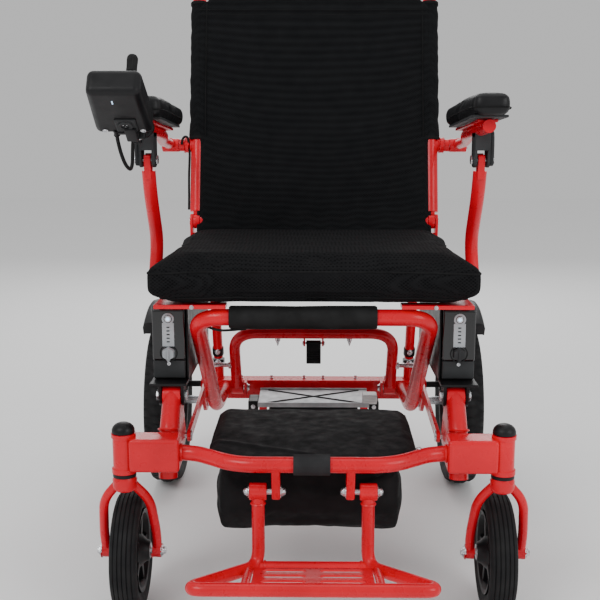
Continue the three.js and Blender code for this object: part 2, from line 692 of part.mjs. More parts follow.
function joystickHousing() {
  const { width, depth, height } = STICK_BOX;
  const shell = softBox(width, depth, height, 9, vec(0, 0, 0), 0, 2);
  const well = rodZ(STICK_SPOT.x, STICK_SPOT.y, STICK_TOP - 14, STICK_TOP + 2, 15, 16);
  const keys = [-26, -8].map((x) => rodZ(x, -32, STICK_TOP - 6.5, STICK_TOP + 2, 6.8));
  const rockerSlot = box(8, 30, -38, -26, STICK_TOP - 6, STICK_TOP + 2);
  const arm = box(2, 18, 30, 60, -24, -8);
  return onStickBox(cut(join(shell, arm), well, ...keys, rockerSlot));
}

function joystickGimbal() {
  const { x, y } = STICK_SPOT;
  const ring = cut(rodZ(x, y, STICK_TOP - 8, STICK_TOP - 4, 14, 14),
    rodZ(x, y, STICK_TOP - 9, STICK_TOP - 3, 9.6, 14));
  return onStickBox(ring);
}

function joystickStick() {
  const { x, y } = STICK_SPOT;
  return onStickBox(join(
    rodZ(x, y, STICK_TOP - 9, STICK_TOP + 4, 7.6),
    rodZ(x, y, STICK_TOP + 3, STICK_TOP + 14, 11.5, 12, 5),
    rodZ(x, y, STICK_TOP + 13, STICK_TOP + 30, 4.4, 10, 5.5),
    rodZ(x, y, STICK_TOP + 29, STICK_TOP + 50, 7, 12, 7.5),
    rodZ(x, y, STICK_TOP + 49, STICK_TOP + 54, 7.5, 12, 4.5),
  ));
}

const roundKey = (x) => onStickBox(rodZ(x, -32, STICK_TOP - 4, STICK_TOP + 1.6, 6));
const speedRocker = () => onStickBox(box(8.8, 29.2, -37.2, -26.8, STICK_TOP - 4, STICK_TOP + 1.8));

// Joystick lead: out of the back of the box, down in a loop beside the clevis and up again
// along the bar.
function joystickCable() {
  const route = [vec(-262, 8, 693), vec(-263, 20, 682), vec(-262, 36, 664), vec(-260, 56, 648),
    vec(-258, 80, 640), vec(-258, 98, 646), vec(-259, 109, 660), vec(-258, 109, 676),
    vec(-255, 102, 687), vec(-251.5, 92, 693)];
  return tube(route, 2.6, 10, 8, 1);
}

const DOME = [[0, 280.4], [15.6, 280.4], [15.6, 285], [12, 291], [6, 294], [0, 295]];

function casterCap(s) {
  const points = DOME.map(([r, z]) => new THREE.Vector2(r, z));
  const dome = new THREE.LatheGeometry(points, 14).rotateX(Math.PI / 2);
  return solid(dome.translate(s * CASTER_X, 0, 0));
}

add('rear_frame', rearFrame(), RED);
add('front_sleeve', frontSleeve(), MESH_BLACK);
add('axle_beam', axleBeam(), RED);
add('seat_frame', seatFrame(), RED);
add('seat_cloth', seatCloth(), MESH_BLACK);
add('seat_cushion', seatCushion(), MESH_BLACK);
add('motor_controller', motorController(), GREY);
add('front_frame', frontFrame(), RED);
add('footrest_frame', footrestFrame(), RED);
add('footplate', footplate(), RED);
add('storage_bag', bag(), MESH_BLACK);
add('lock_hoop', lockHoop(), RED);
add('latch_tongue', latchTongue(), BLACK);
add('backrest_frame', backrestFrame(), RED);
add('backrest_cloth', backrestCloth(), MESH_BLACK);
add('joystick_housing', joystickHousing(), BLACK);
add('joystick_gimbal', joystickGimbal(), BLACK);
add('joystick_stick', joystickStick(), RUBBER);
add('power_button', roundKey(-26), GREY);
add('horn_button', roundKey(-8), GREY);
add('speed_rocker', speedRocker(), GREY);
add('joystick_cable', joystickCable(), RUBBER);

for (const [name, s] of SIDES) {
  const casterAxle = { y: CASTER_TRAIL, z: CASTER_R };
  add(`seat_strut_${name}`, seatStrut(s), RED);
  add(`fender_${name}`, fender(s), GREY);
  add(`hub_motor_${name}`, hubMotor(s), GREY);
  add(`rear_tyre_${name}`,
    tyre(WHEEL_R, 0.75, 28.5, s * WHEEL_X, { y: WHEEL_Y, z: WHEEL_R }, 24), RUBBER);
  add(`battery_${name}`, batteryPack(s), GLOSS_BLACK);
  add(`battery_tray_${name}`, batteryTray(s), BLACK);
  add(`battery_knob_${name}`, batteryKnob(s), GREY);
  add(`battery_button_${name}`, batteryButton(s), STEEL);
  add(`caster_fork_${name}`, casterFork(s), RED);
  add(`caster_hub_${name}`, casterHub(s), BLACK);
  add(`caster_tyre_${name}`, tyre(CASTER_R, 0.7, 19.5, s * CASTER_X, casterAxle, 16), RUBBER);
  add(`caster_cap_${name}`, casterCap(s), BLACK);
  add(`drag_link_${name}`, dragLink(s), RED);
  add(`handle_grip_${name}`, handleGrip(s), RUBBER);
  add(`armrest_bar_${name}`, armrestBar(s), RED);
  add(`armrest_pad_${name}`, armrestPad(s), BLACK);
  add(`armrest_post_${name}`, armrestPost(s), RED);
  add(`wing_lever_${name}`, wingLever(s), BLACK);
}

const powerWheelchair = new THREE.Group();
parts.position.y = -MID_Y;
powerWheelchair.add(parts);

export default powerWheelchair;
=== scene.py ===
"""The finished look of a folding power wheelchair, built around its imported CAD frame.

Pieces are drawn in the chair's own millimetres, with Y = 0 on the casters' swivel axes, and
Piece.take brings them into the frame's metres. Left and right are as seen from the front.
"""
import json
import math
import bpy
import bmesh
from mathutils import Matrix, Vector, noise
from mathutils.bvhtree import BVHTree


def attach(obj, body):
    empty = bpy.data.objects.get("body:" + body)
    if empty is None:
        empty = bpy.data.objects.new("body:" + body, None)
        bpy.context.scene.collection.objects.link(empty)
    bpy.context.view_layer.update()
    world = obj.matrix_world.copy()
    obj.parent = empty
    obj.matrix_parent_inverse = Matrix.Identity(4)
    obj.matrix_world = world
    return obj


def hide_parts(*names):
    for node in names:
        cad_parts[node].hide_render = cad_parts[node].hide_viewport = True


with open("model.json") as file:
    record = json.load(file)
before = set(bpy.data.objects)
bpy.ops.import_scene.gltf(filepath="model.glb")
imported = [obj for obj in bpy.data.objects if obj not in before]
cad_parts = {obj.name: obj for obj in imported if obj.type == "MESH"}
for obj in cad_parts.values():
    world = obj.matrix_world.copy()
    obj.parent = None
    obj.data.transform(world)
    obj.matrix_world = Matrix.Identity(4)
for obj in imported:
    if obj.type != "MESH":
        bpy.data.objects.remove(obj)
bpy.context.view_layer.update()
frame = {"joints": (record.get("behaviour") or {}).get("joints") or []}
JOINTS = {joint["name"]: joint for joint in frame["joints"]}

MM = 0.001
FOLD_PIVOT = Vector((0, 78, 312))
MID_Y = FOLD_PIVOT.y - JOINTS["front_frame_fold"]["pos_m"][1] / MM
SIDES = (("left", -1), ("right", 1))
X_AXIS = Vector((1, 0, 0))
Y_AXIS = Vector((0, 1, 0))
Z_AXIS = Vector((0, 0, 1))
SHARP = math.radians(50)

# Driving dimensions, in millimetres, as in the CAD frame
WHEEL = Vector((281, 575, 159))
CASTER = Vector((265, 38, 88))
CASTER_R = 88
SIDE_X, SIDE_R = 168, 12
CROSS_TUBE = Vector((0, 60, 432))
BEAM = {"y0": 522.4, "y1": 558, "z0": 176, "z1": 212}
LEG_X, LEG_R = 206, 13.5
HOOP_X, HOOP_R = 143, 10
HOOP_PIVOT = Vector((0, 500, 205))
HOOP_BAR = Vector((0, 430, 325))
TONGUE_PIN = Vector((0, 430, 307))
LINK_X = 186.5
LINK_FRONT = Vector((0, 110, 240))
LINK_REAR = Vector((0, 470, 256))
SEAT_SLOPE = 0.0454
SEAT_FRONT = Vector((0, 29, 456))
CUSHION = {"width": 466, "depth": 431, "height": 62}
BAR_DROP, BAR_THICK = 3.4, 6
BATTERY = {"x": 211, "width": 47, "y0": 85, "y1": 385, "z0": 333, "height": 110}
BUTTON_Z, KNOB_Z = 424, 373
BACK_HINGE = Vector((0, 480, 520))
BACK_LEAN = math.radians(16)
BACK_X, BACK_R = 210, 12.5
HANDLE = {"along": 436, "grip": 632, "end": 704, "rise": 0.03}
STUB = Vector((0, 518, 653))
POST_FOOT = Vector((0, 205, 465))
POST_HEAD = Vector((0, 134, 650))
ARM_REAR = Vector((0, 285, 694))
ARM_TILT = 0.084
PAD_X, PAD_RISE, PAD_REAR = 234, 13.5, 282
BAR_X, BAR_UNDER = 236, 14
CLEVIS = {"y0": 118, "y1": 150, "low": 639, "top": 694}
FOOT_HINGE = Vector((0, -30, 206))
FOOT_X = 76
FOOT_BACK = Vector((0, -31, 97))
FOOT_FRONT = Vector((0, -161, 125))
STICK_BOX = {"centre": Vector((-251, -25, 733)), "width": 76, "depth": 100, "height": 36}
STICK_TILT = math.radians(-33)
STICK_TOP = STICK_BOX["height"] / 2
STICK_SPOT = Vector((10, 12, 0))
KEY_Y = -32
PIN_R, PIN_BORE = 4.2, 4.6
FOLD_BORE = 5.4
STUB_PIN_R, STUB_BORE = 8, 8.4
LINK_HALF = 2.6
SEAT_CLOTH = {"half": 178, "y0": 84, "depth": 352, "thick": 2.4}


def at(x, y, z):
    """A point of the drawing, in the frame's metres."""
    return Vector((x * MM, (y - MID_Y) * MM, z * MM))


def seat_z(y):
    return SEAT_FRONT.z - SEAT_SLOPE * (y - SEAT_FRONT.y)


def on(point, x):
    """The drawing's point moved to this X."""
    return Vector((x, point.y, point.z))


# ---------------------------------------------------------------- camera, light and floor

def make_camera():
    camera = bpy.data.objects.new("camera", bpy.data.cameras.new("camera"))
    bpy.context.scene.collection.objects.link(camera)
    camera.data.sensor_width = 36
    camera.data.lens = 63.06
    camera.location = (0, -1.682, 0.741)
    camera.rotation_euler = (math.radians(90 - 11.0), 0, math.radians(0.76))
    bpy.context.scene.camera = camera


def area_light(name, place, target, size, power):
    light = bpy.data.objects.new(name, bpy.data.lights.new(name, "AREA"))
    bpy.context.scene.collection.objects.link(light)
    light.data.shape = "RECTANGLE"
    light.data.size, light.data.size_y = size
    light.data.energy = power
    light.location = place
    light.rotation_euler = (Vector(target) - Vector(place)).to_track_quat("-Z", "Y").to_euler()


def make_studio():
    world = bpy.data.worlds.new("studio")
    bpy.context.scene.world = world
    world.use_nodes = True
    world.node_tree.nodes["Background"].inputs["Color"].default_value = (1, 1, 1, 1)
    world.node_tree.nodes["Background"].inputs["Strength"].default_value = 0.62
    middle = (0, 0, 0.45)
    area_light("key_light", (-1.6, -2.2, 2.4), middle, (1.6, 1.2), 34)
    area_light("fill_light", (2.0, -1.8, 1.5), middle, (1.4, 1.4), 20)
    area_light("top_light", (0, 0.4, 2.8), middle, (2.4, 2.0), 16)
    area_light("back_light", (0, 2.4, 1.6), middle, (2.0, 1.4), 22)
    bm = bmesh.new()
    bmesh.ops.create_grid(bm, x_segments=8, y_segments=8, size=6)
    mesh = bpy.data.meshes.new("floor")
    bm.to_mesh(mesh)
    bm.free()
    floor = bpy.data.objects.new("floor", mesh)
    bpy.context.scene.collection.objects.link(floor)
    floor.location.z = -0.0005
    paint = Finish("floor_paper", (0.9, 0.9, 0.9), 0.9)
    paint.tone((0.94, 0.94, 0.94), (0.97, 0.97, 0.97), paint.noise(0.8))
    mesh.materials.append(paint.material)


# ---------------------------------------------------------------- materials

class Finish:
    """A procedural material on the object's own coordinates, which are the frame's metres."""

    def __init__(self, name, color, roughness, **sockets):
        self.material = bpy.data.materials.new(name)
        self.material.use_nodes = True
        self.tree = self.material.node_tree
        self.shader = self.tree.nodes["Principled BSDF"]
        self.shader.inputs["Base Color"].default_value = (*color, 1)
        self.shader.inputs["Roughness"].default_value = roughness
        for socket, value in sockets.items():
            self.shader.inputs[socket.replace("_", " ")].default_value = value
        self.place = self.node("ShaderNodeTexCoord").outputs["Object"]
        self.height = None

    def node(self, kind, **settings):
        node = self.tree.nodes.new(kind)
        for name, value in settings.items():
            setattr(node, name, value)
        return node

    def link(self, output, socket):
        self.tree.links.new(output, socket)

    def stretched(self, scale, turn=(0, 0, 0)):
        mapping = self.node("ShaderNodeMapping")
        mapping.inputs["Scale"].default_value = scale
        mapping.inputs["Rotation"].default_value = [math.radians(angle) for angle in turn]
        self.link(self.place, mapping.inputs["Vector"])
        return mapping.outputs["Vector"]

    def noise(self, scale, detail=3.0, vector=None):
        node = self.node("ShaderNodeTexNoise")
        node.inputs["Scale"].default_value = scale
        node.inputs["Detail"].default_value = detail
        self.link(vector or self.place, node.inputs["Vector"])
        return node.outputs["Fac"]

    def cells(self, scale, randomness, vector=None, feature="F1"):
        node = self.node("ShaderNodeTexVoronoi", feature=feature)
        node.inputs["Scale"].default_value = scale
        node.inputs["Randomness"].default_value = randomness
        self.link(vector or self.place, node.inputs["Vector"])
        return node.outputs["Distance"]

    def bands(self, scale, direction, vector=None):
        node = self.node("ShaderNodeTexWave", bands_direction=direction, wave_profile="SIN")
        node.inputs["Scale"].default_value = scale
        self.link(vector or self.place, node.inputs["Vector"])
        return node.outputs["Fac"]

    def math(self, operation, a, b):
        node = self.node("ShaderNodeMath", operation=operation)
        for value, socket in ((a, node.inputs[0]), (b, node.inputs[1])):
            if isinstance(value, (int, float)):
                socket.default_value = value
            else:
                self.link(value, socket)
        return node.outputs[0]

    def spread(self, value, low, high, start=0.3, end=0.7):
        node = self.node("ShaderNodeMapRange")
        node.inputs["From Min"].default_value = start
        node.inputs["From Max"].default_value = end
        node.inputs["To Min"].default_value = low
        node.inputs["To Max"].default_value = high
        self.link(value, node.inputs["Value"])
        return node.outputs["Result"]

    def tone(self, dark, light, factor):
        mix = self.node("ShaderNodeMix", data_type="RGBA")
        mix.inputs[6].default_value = (*dark, 1)
        mix.inputs[7].default_value = (*light, 1)
        self.link(factor, mix.inputs[0])
        self.link(mix.outputs[2], self.shader.inputs["Base Color"])
        return self

    def rough(self, low, high, factor):
        self.link(self.spread(factor, low, high), self.shader.inputs["Roughness"])
        return self

    def relief(self, value, strength, distance):
        bump = self.node("ShaderNodeBump")
        bump.inputs["Strength"].default_value = strength
        bump.inputs["Distance"].default_value = distance
        self.link(value, bump.inputs["Height"])
        if self.height is not None:
            self.link(self.height, bump.inputs["Normal"])
        self.height = bump.outputs["Normal"]
        self.link(self.height, self.shader.inputs["Normal"])
        return self


def red_paint():
    """Glossy powder coat: a faint orange peel and slow changes of depth in the colour."""
    paint = Finish("red_powder_coat", (0.75, 0.0003, 0.008), 0.3, Coat_Weight=0.12, Coat_Roughness=0.12,
                   Specular_IOR_Level=0.32)
    paint.tone((0.60, 0.0001, 0.010), (0.84, 0.0002, 0.018), paint.spread(paint.noise(9), 0, 1))
    paint.rough(0.24, 0.34, paint.noise(60))
    paint.relief(paint.noise(220, 2), 0.03, 0.0003)
    return paint.material


def moulded(name, dark, light, low, high, grain=1400, depth=0.00015):
    """Moulded plastic with a spark-eroded grain and hands-worn patches."""
    paint = Finish(name, light, high, Specular_IOR_Level=0.28)
    paint.tone(dark, light, paint.spread(paint.noise(22), 0, 1))
    paint.rough(low, high, paint.noise(60))
    paint.relief(paint.noise(grain, 2), 0.5, depth)
    return paint.material


def gloss_black():
    """Polished battery shell with hairline scratches."""
    paint = Finish("battery_gloss", (0.012, 0.012, 0.014), 0.14, Coat_Weight=0.6, Coat_Roughness=0.04,
                   Specular_IOR_Level=0.35)
    scratches = paint.noise(30, 4, paint.stretched((6, 1, 60)))
    paint.tone((0.0025, 0.0025, 0.003), (0.007, 0.007, 0.008), paint.spread(paint.noise(12), 0, 1))
    paint.rough(0.1, 0.26, scratches)
    paint.relief(paint.noise(260), 0.05, 0.0003)
    return paint.material


def spacer_mesh(name, pitch, thread, hole, turn=45):
    """Knitted spacer mesh: a net of threads round small holes, on a softer woven ground."""
    paint = Finish(name, thread, 0.9, Specular_IOR_Level=0.12)
    net = paint.cells(1 / pitch, 0.12, paint.stretched((1, 1, 1.25), (0, turn, 0)))
    threads = paint.spread(net, 0, 1, 0.22, 0.5)
    fuzz = paint.noise(900, 4)
    paint.tone(hole, thread, paint.math("MULTIPLY", threads, paint.spread(fuzz, 0.6, 1.0)))
    paint.rough(0.8, 0.98, paint.noise(40))
    paint.relief(threads, 0.7, 0.0009)
    paint.relief(fuzz, 0.25, 0.0004)
    return paint.material


def woven(name, dark, light, count=900, shine=0.72):
    """Plain-woven nylon: crossing yarns, with slubs and slow changes of tone."""
    paint = Finish(name, light, shine, Specular_IOR_Level=0.16)
    weft = paint.bands(count, "X")
    warp = paint.bands(count, "Z")
    fill = paint.bands(count, "Y")
    yarns = paint.math("MAXIMUM", weft, paint.math("MAXIMUM", warp, fill))
    patches = paint.noise(26, 5)
    paint.tone(dark, light, paint.math("MULTIPLY", paint.spread(yarns, 0.55, 1.0, 0.2, 1.0), patches))
    paint.rough(shine - 0.12, shine + 0.12, paint.noise(70))
    paint.relief(yarns, 0.35, 0.0003)
    paint.relief(paint.noise(120, 4), 0.25, 0.0012)
    return paint.material


def rubber(name, dark, light, dust):
    """Rubber with a dusty bloom in its low places."""
    paint = Finish(name, light, 0.8, Specular_IOR_Level=0.3)
    bloom = paint.math("MULTIPLY", paint.spread(paint.noise(45, 5), 0, 1, 0.4, 0.75), dust)
    paint.tone(dark, light, bloom)
    paint.rough(0.6, 0.88, paint.noise(90))
    paint.relief(paint.noise(700, 3), 0.4, 0.0003)
    return paint.material


def plated_steel():
    paint = Finish("plated_steel", (0.68, 0.69, 0.71), 0.25, Metallic=1.0)
    paint.tone((0.50, 0.51, 0.54), (0.82, 0.83, 0.85), paint.spread(paint.noise(160, 4), 0, 1))
    paint.rough(0.16, 0.38, paint.noise(300, 2, paint.stretched((1, 8, 1))))
    paint.relief(paint.noise(900), 0.1, 0.0001)
    return paint.material


def cast_metal(name, dark, light, metallic):
    paint = Finish(name, light, 0.5, Metallic=metallic)
    paint.tone(dark, light, paint.spread(paint.noise(50, 5), 0, 1))
    paint.rough(0.38, 0.6, paint.noise(90))
    paint.relief(paint.noise(800, 3), 0.35, 0.0003)
    return paint.material


def lamp(name, color, strength):
    paint = Finish(name, color, 0.3, Emission_Strength=strength)
    paint.tone([c * 0.8 for c in color], color, paint.noise(200))
    paint.shader.inputs["Emission Color"].default_value = (*color, 1)
    return paint.material


RED = red_paint()
BLACK = moulded("black_plastic", (0.004, 0.004, 0.005), (0.010, 0.010, 0.011), 0.34, 0.5)
MATT_GREY = moulded("matt_grey_plastic", (0.018, 0.019, 0.020), (0.036, 0.038, 0.040), 0.5, 0.66)
LIGHT_GREY = moulded("light_grey_plastic", (0.30, 0.32, 0.34), (0.42, 0.45, 0.47), 0.25, 0.4, 1800)
GUARD = moulded("mudguard_plastic", (0.010, 0.010, 0.011), (0.022, 0.022, 0.024), 0.4, 0.6, 900, 0.0002)
WHITE = moulded("white_plastic", (0.66, 0.66, 0.65), (0.8, 0.8, 0.79), 0.35, 0.5)
GLOSS = gloss_black()
SEAT_MESH = spacer_mesh("seat_spacer_mesh", 0.0042, (0.011, 0.011, 0.012), (0.0015, 0.0015, 0.002))
BACK_MESH = spacer_mesh("back_spacer_mesh", 0.0034, (0.010, 0.011, 0.012), (0.0015, 0.0015, 0.002))
NYLON = woven("bag_nylon", (0.0025, 0.0025, 0.003), (0.020, 0.020, 0.021))
WEBBING = woven("strap_webbing", (0.008, 0.008, 0.009), (0.05, 0.05, 0.052), 420, 0.8)
BINDING = woven("edge_binding", (0.003, 0.003, 0.003), (0.014, 0.014, 0.015), 700, 0.82)
FOAM = rubber("sleeve_foam", (0.004, 0.004, 0.004), (0.016, 0.016, 0.017), 0.6)
TYRE = rubber("tyre_rubber", (0.005, 0.005, 0.006), (0.03, 0.03, 0.029), 0.4)
GRIP = rubber("grip_rubber", (0.004, 0.004, 0.004), (0.018, 0.018, 0.018), 0.4)
STEEL = plated_steel()
CAST = cast_metal("cast_lid", (0.34, 0.35, 0.36), (0.52, 0.53, 0.54), 0.55)
HUB = cast_metal("hub_casting", (0.008, 0.008, 0.009), (0.022, 0.022, 0.024), 0.3)
LED = lamp("power_led", (0.55, 0.75, 1.0), 1.2)


# ---------------------------------------------------------------- shapes, in millimetres

def bent(corners, bend, steps=9):
    """The stations of a way through the corners, straight runs joined by round bends."""
    stations = [corners[0]]
    for before, corner, after in zip(corners, corners[1:], corners[2:]):
        back, ahead = before - corner, after - corner
        reach = min(bend, back.length * 0.48, ahead.length * 0.48)
        start = corner + back.normalized() * reach
        end = corner + ahead.normalized() * reach
        for i in range(steps + 1):
            t = i / steps
            stations.append(start * (1 - t) ** 2 + corner * 2 * t * (1 - t) + end * t * t)
    stations.append(corners[-1])
    return stations


def smooth_path(points, steps=8):
    """A Catmull-Rom curve through the points."""
    ends = [points[0] * 2 - points[1], *points, points[-1] * 2 - points[-2]]
    route = []
    for a, b, c, d in zip(ends, ends[1:], ends[2:], ends[3:]):
        for i in range(steps):
            t = i / steps
            route.append(0.5 * (2 * b + (c - a) * t + (2 * a - 5 * b + 4 * c - d) * t * t
                                + (3 * b - a - 3 * c + d) * t ** 3))
    return [*route, points[-1]]


def swept(stations, radius, sides=28, flat=1.0, hint=Z_AXIS):
    """A closed round bar along the stations. radius is a number or a function of 0 to 1, and
    flat narrows the section across the hint direction."""
    part = bmesh.new()
    rings = []
    normal = None
    last = len(stations) - 1
    for i, here in enumerate(stations):
        tangent = Vector((0, 0, 0))
        if i > 0:
            tangent += (here - stations[i - 1]).normalized()
        if i < last:
            tangent += (stations[i + 1] - here).normalized()
        tangent.normalize()
        if normal is None:
            normal = tangent.cross(hint if abs(tangent.dot(hint)) < 0.9 else X_AXIS).normalized()
        normal = (normal - tangent * normal.dot(tangent)).normalized()
        side = tangent.cross(normal)
        size = radius(i / last) if callable(radius) else radius
        rings.append([part.verts.new(here + normal * size * math.cos(a) + side * size * flat * math.sin(a))
                      for a in (2 * math.pi * k / sides for k in range(sides))])
    for low, high in zip(rings, rings[1:]):
        for k in range(sides):
            part.faces.new((low[k], low[k - 1], high[k - 1], high[k]))
    part.faces.new(rings[0])
    part.faces.new(rings[-1][::-1])
    bmesh.ops.recalc_face_normals(part, faces=part.faces)
    return part


def rod(start, end, radius, sides=28, end_radius=None):
    part = bmesh.new()
    along = end - start
    bmesh.ops.create_cone(part, cap_ends=True, segments=sides, radius1=radius,
                          radius2=radius if end_radius is None else end_radius, depth=along.length)
    turn = Z_AXIS.rotation_difference(along).to_matrix().to_4x4()
    part.transform(Matrix.Translation((start + end) / 2) @ turn)
    return part


def rod_x(x0, x1, place, radius, sides=28):
    return rod(on(place, min(x0, x1)), on(place, max(x0, x1)), radius, sides)


def block(x0, x1, y0, y1, z0, z1):
    part = bmesh.new()
    bmesh.ops.create_cube(part, size=1)
    size = Matrix.Diagonal((abs(x1 - x0), abs(y1 - y0), abs(z1 - z0), 1))
    part.transform(Matrix.Translation(((x0 + x1) / 2, (y0 + y1) / 2, (z0 + z1) / 2)) @ size)
    return part


def prism(near, far):
    """A closed solid between two matching outlines."""
    part = bmesh.new()
    near = [part.verts.new(point) for point in near]
    far = [part.verts.new(point) for point in far]
    part.faces.new(near)
    part.faces.new(far[::-1])
    for k in range(len(near)):
        part.faces.new((near[k - 1], near[k], far[k], far[k - 1]))
    bmesh.ops.recalc_face_normals(part, faces=part.faces)
    return part


def plate_x(outline, x0, x1):
    """A flat plate standing across X, its outline given as (y, z) points."""
    return prism([(min(x0, x1), y, z) for y, z in outline], [(max(x0, x1), y, z) for y, z in outline])


def two_sided(surface, columns, rows, thick):
    """A closed sheet. surface(u, v, depth) gives its points, with u and v from 0 to 1."""
    part = bmesh.new()
    near, far = ([[part.verts.new(surface(i / columns, j / rows, depth)) for i in range(columns + 1)]
                  for j in range(rows + 1)] for depth in (0.0, thick))
    for j in range(rows):
        for i in range(columns):
            part.faces.new((near[j][i], near[j][i + 1], near[j + 1][i + 1], near[j + 1][i]))
            part.faces.new((far[j][i], far[j + 1][i], far[j + 1][i + 1], far[j][i + 1]))
    rim = ([(0, i) for i in range(columns)] + [(j, columns) for j in range(rows)]
           + [(rows, i) for i in range(columns, 0, -1)] + [(j, 0) for j in range(rows, 0, -1)])
    for (j, i), (k, m) in zip(rim, rim[1:] + rim[:1]):
        part.faces.new((near[j][i], far[j][i], far[k][m], near[k][m]))
    bmesh.ops.recalc_face_normals(part, faces=part.faces)
    return part


def rounded(part, radius):
    """The part with every edge rounded."""
    bmesh.ops.bevel(part, geom=part.edges[:], offset=radius, segments=3, profile=0.6,
                    affect="EDGES", clamp_overlap=True)
    return part


def squarish(value, power):
    """Raises a sine or cosine to a power below 1, which squares a ring's corners."""
    return math.copysign(abs(value) ** power, value)


def turned(profile, centre, axis=X_AXIS, sides=64, arc=None, ripple=None):
    """A closed profile of (radius, offset) points turned about an axis. arc is (from, to) in
    degrees for a sector. ripple(angle, i) gives how far point i moves in at that angle."""
    part = bmesh.new()
    across = Y_AXIS if abs(axis.dot(Y_AXIS)) < 0.9 else Z_AXIS
    across = (across - axis * across.dot(axis)).normalized()
    up = axis.cross(across)
    start, end = (0, 360) if arc is None else arc
    count = sides if arc is None else sides + 1
    rings = []
    for k in range(count):
        a = math.radians(start + (end - start) * k / sides)
        outward = across * math.cos(a) + up * math.sin(a)
        rings.append([part.verts.new(centre + axis * offset
                                     + outward * (radius - (ripple(a, i) if ripple else 0)))
                      for i, (radius, offset) in enumerate(profile)])
    pairs = list(zip(rings, rings[1:])) + ([(rings[-1], rings[0])] if arc is None else [])
    for low, high in pairs:
        for k in range(len(profile)):
            part.faces.new((low[k - 1], low[k], high[k], high[k - 1]))
    if arc is not None:
        part.faces.new(rings[0])
        part.faces.new(rings[-1][::-1])
    bmesh.ops.remove_doubles(part, verts=part.verts, dist=1e-4)
    bmesh.ops.dissolve_degenerate(part, edges=part.edges, dist=1e-5)
    bmesh.ops.recalc_face_normals(part, faces=part.faces)
    return part


def round_box(width, depth, height, radius, segments=5, taper=None):
    part = block(-width / 2, width / 2, -depth / 2, depth / 2, -height / 2, height / 2)
    if taper:
        for vert in part.verts:
            vert.co = taper(vert.co)
    bmesh.ops.bevel(part, geom=part.edges[:], offset=radius, segments=segments, profile=0.5,
                    affect="EDGES", clamp_overlap=True)
    return part


def slotted_plate(outline, slots, thickness):
    """A plate in the XY plane with round-ended slots, each (x, y, half length, radius)."""
    curve = bpy.data.curves.new("plate", "CURVE")
    curve.dimensions = "2D"
    curve.fill_mode = "BOTH"
    curve.extrude = thickness / 2 - 0.5
    curve.bevel_depth = 0.5
    curve.bevel_resolution = 1
    loops = [outline]
    for x, y, half, radius in slots:
        ends = [(x + s * half + radius * math.cos(a), y + radius * math.sin(a))
                for s, turn in ((1, -90), (-1, 90))
                for a in (math.radians(turn + 18 * k) for k in range(11))]
        loops.append(ends)
    for loop in loops:
        spline = curve.splines.new("POLY")
        spline.points.add(len(loop) - 1)
        for point, (x, y) in zip(spline.points, loop):
            point.co = (x, y, 0, 1)
        spline.use_cyclic_u = True
    holder = bpy.data.objects.new("plate", curve)
    bpy.context.scene.collection.objects.link(holder)
    mesh = bpy.data.meshes.new_from_object(holder.evaluated_get(bpy.context.evaluated_depsgraph_get()))
    part = bmesh.new()
    part.from_mesh(mesh)
    bpy.data.objects.remove(holder)
    bpy.data.meshes.remove(mesh)
    bmesh.ops.remove_doubles(part, verts=part.verts, dist=1e-3)
    return part


def barrel(x0, x1, place, radius, bore, sides=40):
    """A short bored tube along X with softened ends."""
    low, high = min(x0, x1), max(x0, x1)
    ring = [(bore, low), (radius - 1, low), (radius, low + 1), (radius, high - 1), (radius - 1, high),
            (bore, high)]
    return turned(ring, on(place, 0), X_AXIS, sides)


def carved(part, *tools):
    """The part with the tools' shapes cut out of it."""
    holders = []
    for index, shape in enumerate((part, *tools)):
        mesh = bpy.data.meshes.new("carve")
        shape.to_mesh(mesh)
        shape.free()
        holder = bpy.data.objects.new(f"carve_{index}", mesh)
        bpy.context.scene.collection.objects.link(holder)
        holders.append(holder)
    body = holders[0]
    for tool in holders[1:]:
        cutter = body.modifiers.new("cut", "BOOLEAN")
        cutter.operation = "DIFFERENCE"
        cutter.solver = "EXACT"
        cutter.object = tool
    mesh = bpy.data.meshes.new_from_object(body.evaluated_get(bpy.context.evaluated_depsgraph_get()))
    result = bmesh.new()
    result.from_mesh(mesh)
    bpy.data.meshes.remove(mesh)
    for holder in holders:
        old = holder.data
        bpy.data.objects.remove(holder)
        bpy.data.meshes.remove(old)
    bmesh.ops.recalc_face_normals(result, faces=result.faces)
    return result


